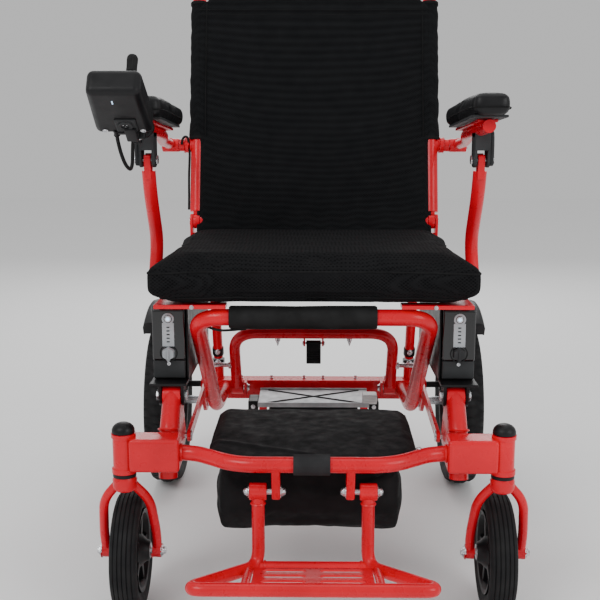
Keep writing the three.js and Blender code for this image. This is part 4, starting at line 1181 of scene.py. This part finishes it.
def drag_link(name, s):
    piece = Piece(f"drag_link_bar_{name}", f"drag_link_{name}", "red_paint", f"drag_link_{name}").use(RED)
    along = LINK_REAR - LINK_FRONT
    angle = math.atan2(along.z, along.y)
    outline = []
    for end, turn in ((LINK_REAR, -90), (LINK_FRONT, 90)):
        for k in range(13):
            a = angle + math.radians(turn + 15 * k)
            outline.append((end.y + 9 * math.cos(a), end.z + 9 * math.sin(a)))
    bore = rod_x(s * (LINK_X - 5), s * (LINK_X + 5), LINK_FRONT, PIN_BORE)
    piece.take(carved(plate_x(outline, s * (LINK_X - LINK_HALF), s * (LINK_X + LINK_HALF)), bore), 0.6)
    piece.bolt(on(LINK_REAR, s * (LINK_X + LINK_HALF)), X_AXIS * s, 5.4, 3.9)
    piece.done()


# ---------------------------------------------------------------- backrest

def on_back(s, along, across=0.0, x=BACK_X):
    """A point of the leaning backrest: along its tube, and across it towards the rear."""
    rise, back = math.cos(BACK_LEAN), math.sin(BACK_LEAN)
    return Vector((s * x, BACK_HINGE.y + along * back + across * rise,
                   BACK_HINGE.z + along * rise - across * back))


def handle_at(s, y):
    bend = on_back(s, HANDLE["along"])
    return Vector((s * BACK_X, y, bend.z + HANDLE["rise"] * (y - bend.y)))


def backrest_frame():
    piece = Piece("backrest_tubes", "backrest", "red_paint", "backrest_frame").use(RED)
    bar = lambda s: [on_back(s, 205) + Vector((0, 9, 0)), on_back(s, 205) + Vector((-s * 38, 30, 0))]
    piece.take(swept(bent([*bar(-1), *bar(1)[::-1]], 24), 8, 28))
    for s in (-1, 1):
        piece.use(RED)
        tube = bent([on_back(s, 16.4), on_back(s, HANDLE["along"]), handle_at(s, HANDLE["end"])], 46, 14)
        piece.take(swept(tube, BACK_R, 32), 1)
        piece.take(barrel(s * 204, s * 216, BACK_HINGE, 13.5, PIN_BORE))
        neck = [on_back(1, along, across) for along, across in ((11, -9), (20, -10), (20, 10), (11, 9))]
        piece.take(plate_x([(spot.y, spot.z) for spot in neck], s * 204, s * 216), 0.8)
        piece.take(rod_x(s * BACK_X, s * 243, STUB, 11, 36), 0.8)
        piece.take(rod_x(s * 226, s * 233, STUB, 13.5, 36), 1.4)
        piece.weld(on(STUB, s * 222.4), X_AXIS, 11)
        piece.weld(on_back(s, 205) + Vector((-s * 9, 11, 0)), X_AXIS, 8)
        piece.use(STEEL).take(rod_x(s * 240, s * 276, STUB, STUB_PIN_R))
        piece.bolt(on(STUB, s * 274.6), X_AXIS * s, 6, 1.6, "cap").use(RED)
    piece.done()


def back_surface(u, v):
    """The stretched back panel's front at u from -1 to 1 across and v from 0 to 1 up."""
    along = -22 + 426 * v
    half = 207 + 9 * min(1, max(0, (v - 0.38) / 0.05))
    corner = max(0.0, (v - 0.955) / 0.045)
    half -= 24 * corner ** 2
    hollow = 9 * (1 - u * u) ** 0.7 * math.sin(math.pi * min(1, 0.12 + v * 0.9))
    ripple = 1.1 * noise.noise(Vector((u * 2.2, v * 5.0, 3.1))) * (1 - abs(u) ** 6)
    pull = 0.9 * math.sin(u * 26 + 3 * noise.noise(Vector((u, v, 0)))) * max(0, 0.16 - v) / 0.16
    wrap = 5.5 * max(0.0, abs(u) - 0.955) / 0.045
    return half * u, along, -15.4 + hollow + ripple + pull + wrap


def backrest_cloth():
    """Spacer-mesh back: a stretched panel, sleeves round the tubes, hem and bound edges."""
    def surface(u, v, depth):
        x, along, across = back_surface(2 * u - 1, v)
        return on_back(1, along, across + depth, x)

    panel = Piece("backrest_panel", "backrest", "black_mesh", "backrest_cloth").use(BACK_MESH)
    panel.take(two_sided(surface, 84, 84, 3))
    panel = panel.done()

    trim = Piece("backrest_sleeves", "backrest", "black_mesh")
    for s in (-1, 1):
        trim.use(BACK_MESH)
        sleeve = [on_back(s, 150 + 250 * k / 40, 0.4, BACK_X + 0.6 * math.sin(k * 0.9)) for k in range(41)]
        trim.take(swept(sleeve, lambda t: 15.2 + 0.5 * math.sin(t * 31) + 0.35 * math.sin(t * 77), 28))
        trim.use(BINDING)
        for end in (150, 400):
            trim.take(swept([on_back(s, end - 3, 0.4), on_back(s, end + 3, 0.4)], 16.2, 32), 0.9)
        seam = [on_back(s, 152 + 246 * k / 60, -15.2 - 0.5 * (k % 2), BACK_X - 14.5) for k in range(61)]
        trim.take(swept(seam, 1.0, 8))
        edge = []
        for k in range(44):
            x, along, across = back_surface(s, 0.385 * k / 43)
            edge.append(on_back(1, along, across + 1.5, x))
        trim.take(swept(edge, 2.5, 12))
    for v, radius in ((0.955, 0.8), (0.935, 0.8)):
        line = []
        for k in range(-90, 91):
            x, along, across = back_surface(0.96 * k / 90, v)
            line.append(on_back(1, along, across - 0.3 * (k % 2), x))
        trim.take(swept(line, radius, 8))
    top = []
    for k in range(-60, 61):
        x, along, across = back_surface(k / 60, 1.0)
        top.append(on_back(1, along, across + 1.5, x))
    trim.take(swept(top, 2.6, 12))
    trim = trim.done()


def backrest_lead():
    """The lead that leaves the armrest stub and runs down the outside of the backrest tube."""
    piece = Piece("backrest_lead", "backrest", "tyre_rubber").use(GRIP)
    route = [Vector((-238, 505, 655)), Vector((-236, 503, 664)), Vector((-231, 503, 669)),
             Vector((-226, 505, 664)), Vector((-224.6, 510, 640)), Vector((-225.2, 500, 600)),
             Vector((-224.8, 491, 565)), Vector((-224.6, 484, 540))]
    piece.take(swept(smooth_path(route), 2.1, 12))
    piece.done()


def handle_grip(name, s):
    """Rubber grip with finger rings and a rounded end."""
    piece = Piece(f"push_handle_grip_{name}", "backrest", "tyre_rubber", f"handle_grip_{name}").use(GRIP)
    start, end = handle_at(s, HANDLE["grip"] + 8), handle_at(s, HANDLE["end"] + 12)
    axis = (end - start).normalized()
    length = (end - start).length
    profile = [(13.1, 0.2), (17, 0), (18.2, 1.5), (18.2, 5), (15.6, 7)]
    for k in range(9):
        base = 9 + 6.4 * k
        profile += [(15.4, base), (16.9, base + 1.6), (16.9, base + 3.8), (15.4, base + 5.2)]
    profile += [(16.6, length - 8), (16.2, length - 3), (13, length - 0.4), (0, length),
                (0, length - 6), (13.1, length - 6)]
    piece.take(turned(profile, start, axis, 48))
    piece.done()


# ---------------------------------------------------------------- armrests

def arm_rise(y):
    return ARM_REAR.z + ARM_TILT * (ARM_REAR.y - y)


def bar_spot(s, y):
    """A point on the middle of the armrest bar, under the pad."""
    return Vector((s * BAR_X, y, arm_rise(y) - BAR_UNDER))


def armrest_bar(name, s):
    """Armrest tube with the sleeve on the stub, the pad plate and the black clevis over the post."""
    piece = Piece(f"armrest_bar_{name}", f"armrest_{name}", "red_paint", f"armrest_bar_{name}")
    front = 23 if s < 0 else 36
    path = [Vector((s * 260, STUB.y - 2, STUB.z + 2)), Vector((s * 258, 400, arm_rise(400) - 18)),
            Vector((s * 240, ARM_REAR.y, ARM_REAR.z - BAR_UNDER)), bar_spot(s, front)]
    bore = rod_x(s * 240, s * 280, STUB, STUB_BORE, 32)
    piece.use(RED).take(carved(swept(bent(path, 40, 12), 9, 32), bore))
    piece.take(barrel(s * 243.6, s * 274, STUB, 12, STUB_BORE))
    piece.weld(Vector((s * 260, STUB.y - 11.5, STUB.z + 3)), Vector((0, -1, 0.12)).normalized(), 9)
    plate = [(50, arm_rise(50) - 8), (275, arm_rise(275) - 8), (275, arm_rise(275) - 4),
             (50, arm_rise(50) - 4)]
    piece.take(plate_x(plate, s * 222, s * 250), 0.8)
    piece.use(MATT_GREY)
    y0, y1, low, top = (CLEVIS[k] for k in ("y0", "y1", "low", "top"))
    ear = [(y0, low + 8), (y0 + 4, low + 2.5), (y0 + 11, low), (y1 - 11, low), (y1 - 4, low + 2.5),
           (y1, low + 8), (y1, top - 4), (y0, top)]
    for x0, x1 in ((229.6, 233.6), (248.4, 252.4)):
        hole = rod_x(s * (x0 - 2), s * (x1 + 2), POST_HEAD, PIN_BORE)
        piece.take(carved(plate_x(ear, s * x0, s * x1), hole), 0.7)
    piece.take(block(s * 229.6, s * 252.4, y0 + 2, y1 - 2, top - 12, top), 1)
    piece.take(block(s * 230.4, s * 251.6, y0 - 1.4, y0 + 1.6, top - 30, top), 1)
    piece.done()


def armrest_pad(name, s):
    """Moulded armrest pad: crowned top, rounded nose, and the moulding line round its side."""
    piece = Piece(f"armrest_cushion_{name}", f"armrest_{name}", "black_plastic", f"armrest_pad_{name}")
    front, rear = (44 if s < 0 else 0), PAD_REAR
    length, middle = rear - front, (front + rear) / 2
    centre = Vector((s * PAD_X, middle, arm_rise(middle) + PAD_RISE))
    tilt = Matrix.Translation(centre) @ Matrix.Rotation(-math.atan(ARM_TILT), 4, "X")

    def shaped(co):
        nose = 1 - 0.16 * max(0, -co.y / length - 0.28) / 0.22
        return Vector((co.x * nose, co.y, co.z))

    pad = round_box(58, length - 4, 29, 11, 6, shaped)
    piece.use(BLACK).take(pad, move=tilt)
    body = piece.done(mesh_only=True)
    inflated(body, 4, 5)
    settle(body, f"armrest_{name}", "black_plastic", f"armrest_pad_{name}")
    line = Piece(f"armrest_pad_line_{name}", f"armrest_{name}", "black_plastic").use(BINDING)
    ring = []
    for k in range(97):
        a = 2 * math.pi * k / 96
        x, y = squarish(math.cos(a), 0.32), squarish(math.sin(a), 0.32)
        ring.append(tilt @ Vector((29.6 * x, (length / 2 - 1.6) * y, -4.5)))
    line.take(swept(ring, 0.9, 8))
    line.use(MATT_GREY)
    line.take(block(-24, 24, -length / 2 + 16, length / 2 - 16, -17.2, -13.6), 1.2, 2, tilt)
    line.done()


def armrest_post(name, s):
    """Bowed post with a flat notched head and its foot barrel."""
    piece = Piece(f"armrest_post_bowed_{name}", f"armrest_post_{name}", "red_paint",
                  f"armrest_post_{name}").use(RED)
    curve = [Vector((s * 246, POST_FOOT.y, POST_FOOT.z)), Vector((s * 242, 212, 520)),
             Vector((s * 241, 150, 598)), Vector((s * 241, POST_HEAD.y, POST_HEAD.z - 10))]
    low, high = min(s * 230, s * 252), max(s * 230, s * 252)
    piece.take(carved(swept(bent(curve, 44, 12), 10, 32),
                      block(low, high, 110, 160, 634, 670),
                      rod_x(s * 238, s * 256, POST_FOOT, PIN_BORE),
                      block(s * 230, s * 240, 190, 222, 440, 481)))
    head = [(126, 622), (144, 622), (145, 650), (143.6, 655.8), (139, 660), (134, 661), (129, 660),
            (124.4, 655.8), (123, 650)]
    notch = plate_x([(129.4, 650), (138.6, 650), (141, 668), (123, 668)], s * 232, s * 250)
    blank = plate_x(head, s * 236, s * 246)
    piece.take(carved(blank, notch, rod_x(s * 230, s * 252, POST_HEAD, PIN_BORE)), 0.8)
    piece.take(barrel(s * 240.4, s * 251.6, POST_FOOT, 12, PIN_BORE))
    piece.done()


def wing_lever(name, s):
    piece = Piece(f"wing_lever_{name}", f"wing_lever_{name}", "black_plastic", f"wing_lever_{name}")
    wing = [(127, 644), (130.5, 641.6), (134, 641), (137.5, 641.6), (141, 644), (143.4, 656), (143.6, 670),
            (142, 682), (139, 689), (134, 692), (129, 689), (126, 682), (124.6, 670), (125, 656)]
    piece.use(MATT_GREY).take(plate_x(wing, s * 253, s * 259), 2, 3)
    piece.use(STEEL).take(rod_x(s * 227, s * 258, POST_HEAD, 4))
    piece.take(rod_x(s * 226, s * 229, POST_HEAD, 7, 6), 0.7)
    piece.bolt(on(POST_HEAD, s * 258.8), X_AXIS * s, 4.4, 2, "cap")
    piece.done()


# ---------------------------------------------------------------- joystick

def stick_turn():
    return Matrix.Translation(STICK_BOX["centre"]) @ Matrix.Rotation(STICK_TILT, 4, "X")


def joystick_housing():
    """Control box, narrower towards its front edge, with the wells for stick, keys and rocker, the
    port underneath and the clamps round the armrest bar."""
    piece = Piece("joystick_control_box", "armrest_left", "black_plastic", "joystick_housing")
    width, depth, height = (STICK_BOX[k] for k in ("width", "depth", "height"))
    move = stick_turn()

    def trapezoid(co):
        narrow = 1 - 0.16 * max(0, -co.y / depth + 0.1)
        return Vector((co.x * narrow, co.y, co.z))

    shell = round_box(width, depth, height, 9, 5, trapezoid)
    well = rod(STICK_SPOT + Z_AXIS * (STICK_TOP - 14), STICK_SPOT + Z_AXIS * (STICK_TOP + 2), 15, 40)
    keys = [rod(Vector((x, KEY_Y, STICK_TOP - 6.5)), Vector((x, KEY_Y, STICK_TOP + 2)), 6.8, 32)
            for x in (-26, -8)]
    slot = block(8, 30, -38, -26, STICK_TOP - 6, STICK_TOP + 2)
    piece.use(BLACK).take(carved(shell, well, *keys, slot), move=move)
    piece.take(block(2, 18, 30, 60, -24, -8), 2, 2, move)
    rim = [(15.2, STICK_TOP - 0.4), (17.6, STICK_TOP - 0.4), (17.2, STICK_TOP + 1.1), (15.6, STICK_TOP + 1.1)]
    piece.take(turned(rim, STICK_SPOT, Z_AXIS, 48), move=move)
    under = -height / 2
    piece.use(MATT_GREY)
    piece.take(block(-8, 20, 12, 40, under - 2.6, under + 1), 2.4, 3, move)
    port = [(5.6, under - 4.4), (9.6, under - 4.4), (10.2, under - 2), (10.2, under), (5.6, under)]
    piece.take(turned(port, Vector((5, 24, 0)), Z_AXIS, 40), move=move)
    piece.use(STEEL)
    for k in range(3):
        a = math.radians(90 + 120 * k)
        pin = Vector((5 + 2.8 * math.cos(a), 24 + 2.8 * math.sin(a), 0))
        piece.take(rod(pin + Z_AXIS * (under - 3.2), pin + Z_AXIS * under, 0.8, 12), move=move)
    piece.use(BLACK).take(block(-8, 20, 40.6, 46, under - 3.4, under - 0.6), 1, 2, move)
    piece.use(LED)
    piece.take(block(-4.2, -2.6, -30, -23, under - 0.5, under + 0.4), 0.4, 2, move)
    piece.use(STEEL)
    for x, y in ((-24, 40), (26, 40)):
        spot = move @ Vector((x, y, under + 0.3))
        piece.bolt(spot, move.to_3x3() @ Vector((0, 0, -1)), 2.6, 1.4, "cap")
    piece.use(BLACK)
    for y in (27, 74):
        clamp = [(9.2, -7), (13, -7), (14, -6), (14, 6), (13, 7), (9.2, 7)]
        piece.take(turned(clamp, bar_spot(-1, y), Vector((0, -1, ARM_TILT)).normalized(), 40))
    piece.take(block(-246, -226, 16, 30, 684, 700), 2.4, 3)
    piece.take(block(-250, -240, 66, 82, 676, 692), 2, 3)
    piece.bolt(Vector((-250, 74, 684)), -X_AXIS, 3.4, 2.4, "cap")
    piece.bolt(Vector((-236, 25, 684.4)), -Z_AXIS, 3.4, 2.4, "cap")
    piece.done()


def joystick_gimbal():
    piece = Piece("joystick_gimbal_ring", "joystick_gimbal", "black_plastic", "joystick_gimbal")
    ring = [(9.6, STICK_TOP - 8), (13.4, STICK_TOP - 8), (14, STICK_TOP - 7.4), (14, STICK_TOP - 4.6),
            (13.4, STICK_TOP - 4), (9.6, STICK_TOP - 4)]
    piece.use(BLACK).take(turned(ring, STICK_SPOT, Z_AXIS, 48), move=stick_turn())
    piece.done()


def joystick_stick():
    """Stick with its folded rubber boot, thin shaft and ribbed knob."""
    piece = Piece("joystick_stick_and_boot", "joystick_stick", "tyre_rubber", "joystick_stick")
    top = STICK_TOP
    boot = [(0, top - 9), (7.6, top - 9), (7.6, top + 2.6), (10.2, top + 3.2), (10.4, top + 4.6),
            (9.2, top + 5.6), (9.8, top + 7), (8.8, top + 8), (9.2, top + 9.4), (7.4, top + 10.4),
            (7.6, top + 11.8), (5, top + 13.4), (4.4, top + 14), (4.6, top + 26), (5.5, top + 35.6),
            (0, top + 35.6)]
    knob = [(0, top + 35), (6.4, top + 35), (7.4, top + 36.4), (7.1, top + 43), (7.6, top + 55),
            (7.3, top + 58), (6, top + 60.4), (3.6, top + 61.7), (0, top + 62)]
    ribs = lambda a, i: 0.35 * (1 + math.sin(a * 14)) if 2 < i < 6 else 0
    piece.use(GRIP).take(turned(boot, STICK_SPOT, Z_AXIS, 40), move=stick_turn())
    piece.take(turned(knob, STICK_SPOT, Z_AXIS, 84, ripple=ribs), move=stick_turn())
    piece.done()


def round_key(name, x, mark):
    """A round key with a dished top and a small lit dot or dash."""
    piece = Piece(f"{name}_key", name, "grey_parts", name)
    top = STICK_TOP
    profile = [(0, top - 4), (6, top - 4), (6, top + 0.8), (5.4, top + 1.6), (4.4, top + 1.6),
               (0, top + 0.9)]
    piece.use(MATT_GREY).take(turned(profile, Vector((x, KEY_Y, 0)), Z_AXIS, 36), move=stick_turn())
    piece.use(mark).take(block(x - 1.4, x + 1.4, -32.5, -31.5, top + 0.9, top + 1.3), 0.2, 1, stick_turn())
    piece.done()


def speed_rocker():
    piece = Piece("speed_rocker_key", "speed_rocker", "grey_parts", "speed_rocker")
    top = STICK_TOP
    outline = [(8.8, top - 4), (29.2, top - 4), (29.2, top + 1.8), (19, top + 0.6), (8.8, top + 1.8)]
    rocker = plate_x(outline, 26.8, 37.2)
    quarter = Matrix.Rotation(math.radians(-90), 4, "Z")
    piece.use(MATT_GREY).take(rocker, 0.6, 2, stick_turn() @ quarter)
    piece.use(WHITE)
    for x in (13, 25):
        piece.take(block(x - 1.6, x + 1.6, -32.3, -31.7, top + 0.7, top + 1.5), 0.1, 1, stick_turn())
    piece.done()


def joystick_cable():
    """The lead's held loop: out of the box, down beside the clevis and up along the bar."""
    piece = Piece("joystick_lead", "armrest_left", "tyre_rubber", "joystick_cable").use(GRIP)
    route = [(-262, 8, 693), (-263, 20, 682), (-262, 36, 664), (-260, 56, 648), (-258, 80, 640),
             (-258, 98, 646), (-259, 109, 660), (-258, 109, 676), (-255, 102, 687), (-251.5, 92, 693)]
    piece.take(swept(smooth_path([Vector(point) for point in route]), 2.6, 16))
    plug = Vector((-262, 8, 693))
    piece.use(BLACK).take(rod(plug + Vector((0, -5, 5)), plug + Vector((0, 3, -3)), 4.6, 20, 3.6), 0.8)
    piece.done()


# ---------------------------------------------------------------- seat and bag

def seat_cushion():
    """Mesh-covered cushion blown up from a slightly smaller block, then fitted to its own size."""
    piece = Piece("seat_cushion_cover", "rear_frame", "black_mesh", "seat_cushion").use(SEAT_MESH)
    middle = SEAT_FRONT.y + CUSHION["depth"] / 2
    centre = Vector((0, middle, seat_z(middle) + CUSHION["height"] / 2 + 0.2))
    tilt = Matrix.Translation(centre) @ Matrix.Rotation(-math.atan(SEAT_SLOPE), 4, "X")
    width, depth, height = CUSHION["width"] - 14, CUSHION["depth"] - 12, CUSHION["height"] - 8
    piece.take(round_box(width, depth, height, 14, 6), move=tilt)
    body = piece.done(mesh_only=True)
    inflated(body, 6, 22)
    rear_y = SEAT_FRONT.y + CUSHION["depth"]
    half = CUSHION["width"] / 2
    fitted(body, (-half, SEAT_FRONT.y, seat_z(rear_y) + 0.2),
           (half, rear_y, SEAT_FRONT.z + CUSHION["height"] + 6))
    for vert in body.data.vertices:
        vert.co.z = max(vert.co.z, (seat_z(vert.co.y / MM + MID_Y) + 0.2) * MM)
    settle(body, "rear_frame", "black_mesh", "seat_cushion")
    return body


def follow_surface(points, body, toward, lift):
    """The points, dropped along a direction on to a piece's surface and lifted a little."""
    mesh = body.data
    tree = BVHTree.FromPolygons([v.co for v in mesh.vertices], [tuple(p.vertices) for p in mesh.polygons])
    found = []
    for point, way in zip(points, toward):
        start = at(*point) - way * 0.08
        hit = tree.ray_cast(start, way)[0]
        if hit is not None:
            spot = hit - way * lift * MM
            found.append(Vector((spot.x / MM, spot.y / MM + MID_Y, spot.z / MM)))
    return found


def cushion_seams(body):
    """Piped seams round the cushion's top and bottom edges, laid on its blown-up surface."""
    trim = Piece("seat_cushion_seams", "rear_frame", "black_mesh").use(BINDING)
    middle = SEAT_FRONT.y + CUSHION["depth"] / 2
    for share, radius in ((0.70, 1.5), (0.10, 1.3)):
        points, ways = [], []
        for k in range(241):
            a = 2 * math.pi * k / 240
            x = CUSHION["width"] / 2 * squarish(math.cos(a), 0.22)
            y = middle + CUSHION["depth"] / 2 * squarish(math.sin(a), 0.22)
            points.append((x, y, seat_z(y) + CUSHION["height"] * share))
            ways.append(Vector((-x / 1.1, middle - y, 0)).normalized())
        route = follow_surface(points, body, ways, 0.1)
        trim.take(swept([*route, route[0]], radius, 8))
    trim.done()


def seat_cloth():
    """The woven cloth stretched between the seat bars."""
    def surface(u, v, depth):
        y = SEAT_CLOTH["y0"] + SEAT_CLOTH["depth"] * v
        side = 2 * u - 1
        return Vector((SEAT_CLOTH["half"] * side, y, seat_z(y) - 0.6 - depth - 0.5 * (1 - side ** 2)))

    piece = Piece("seat_sling", "rear_frame", "black_mesh", "seat_cloth").use(NYLON)
    piece.take(two_sided(surface, 36, 36, SEAT_CLOTH["thick"]))
    piece.done()


def storage_bag():
    """Soft bag blown up a little, with creased sides."""
    piece = Piece("storage_bag_body", "front_frame", "black_mesh", "storage_bag").use(NYLON)
    body = [(6, 228), (11, 160), (19, 132), (32, 126), (193, 128), (211, 141), (217, 228)]
    piece.take(plate_x(body, -135, 123), 6, 4)
    shell = piece.done(mesh_only=True)
    inflated(shell, 5, 5)
    for vert in shell.data.vertices:
        x, y, z = vert.co.x / MM, vert.co.y / MM + MID_Y, vert.co.z / MM
        fold = 1.5 * noise.noise(Vector((x * 0.024, y * 0.02, z * 0.03)))
        crease = 0.9 * noise.noise(Vector((x * 0.07 + z * 0.04, y * 0.05, z * 0.02)))
        vert.co.y += (fold + crease) * MM * (1 if y < 40 else -0.6)
        vert.co.x += 0.9 * noise.noise(Vector((y * 0.03, z * 0.05, 4.2))) * MM
    settle(shell, "front_frame", "black_mesh", "storage_bag")


def bag_flap():
    """The flap over the bag, a draped sheet with bound edges, and the strap round the front tube."""
    back, front = 234.0, -26.0

    def drape(u, v):
        y = back + (front - back) * v
        half = 149 - 61 * max(0.0, (v - 0.80) / 0.20) ** 0.8 if v > 0.80 else 149
        x = -1 + half * u
        height = 243.5 + 5.0 * math.sin(math.pi * min(1, v * 1.05)) - 6.5 * max(0, (v - 0.86) / 0.14) ** 1.5
        height -= 9.0 * max(0.0, (abs(u) - 0.90) / 0.10) ** 1.6
        height += 1.8 * noise.noise(Vector((x * 0.016, y * 0.02, 1.7)))
        height += 0.8 * noise.noise(Vector((x * 0.05, y * 0.045, 6.3)))
        crease = (x + 62) * 0.34 + (y - 34)
        height += 2.4 * math.exp(-(crease / 6.0) ** 2) * (1 if x < -10 else math.exp(-((x + 10) / 22) ** 2))
        return Vector((x, y, height))

    piece = Piece("storage_bag_flap", "front_frame", "black_mesh").use(NYLON)
    piece.take(two_sided(lambda u, v, depth: drape(2 * u - 1, v) - Z_AXIS * depth, 74, 66, 2.2))
    flap = piece.done()
    strap = Piece("storage_bag_strap", "front_frame", "black_mesh").use(WEBBING)
    band = [(11.4, -25), (13.8, -25), (14.2, -24), (14.2, 24), (13.8, 25), (11.4, 25)]
    strap.take(turned(band, Vector((-2, -45, 250)), X_AXIS, 48))
    tab = [(-45, 237.6), (-30, 236.4), (-16, 237.2), (-16, 240.6), (-30, 240.2), (-45, 239.6)]
    strap.take(plate_x(tab, -27, 23), 0.6)
    strap.use(BINDING)
    edge = [drape(u, 1.0) - Z_AXIS * 1.1 for u in (2 * k / 60 - 1 for k in range(61))]
    strap.take(swept(edge, 1.7, 8))
    for side in (-1, 1):
        hem = [drape(side * 0.995, v / 60) - Z_AXIS * 1.1 for v in range(61)]
        strap.take(swept(hem, 1.6, 8))
    strap = strap.done()


# ---------------------------------------------------------------- the whole chair

make_camera()
make_studio()
for make in (rear_frame, front_sleeve, axle_beam, seat_frame, seat_cloth):
    make()
cushion_seams(seat_cushion())
for make in (motor_controller, front_frame, footrest_frame, footplate, storage_bag, bag_flap, lock_hoop,
             latch_tongue, backrest_frame, backrest_cloth, backrest_lead, joystick_housing,
             joystick_gimbal, joystick_stick):
    make()
round_key("power_button", -26, LED)
round_key("horn_button", -8, WHITE)
speed_rocker()
joystick_cable()
for side_name, side_sign in SIDES:
    for make in (seat_strut, mudguard, hub_motor, rear_tyre, battery_tray, battery, battery_knob,
                 battery_button, caster_cap, caster_fork, caster_hub, caster_tyre, drag_link,
                 handle_grip, armrest_bar, armrest_pad, armrest_post, wing_lever):
        make(side_name, side_sign)

bpy.context.view_layer.update()
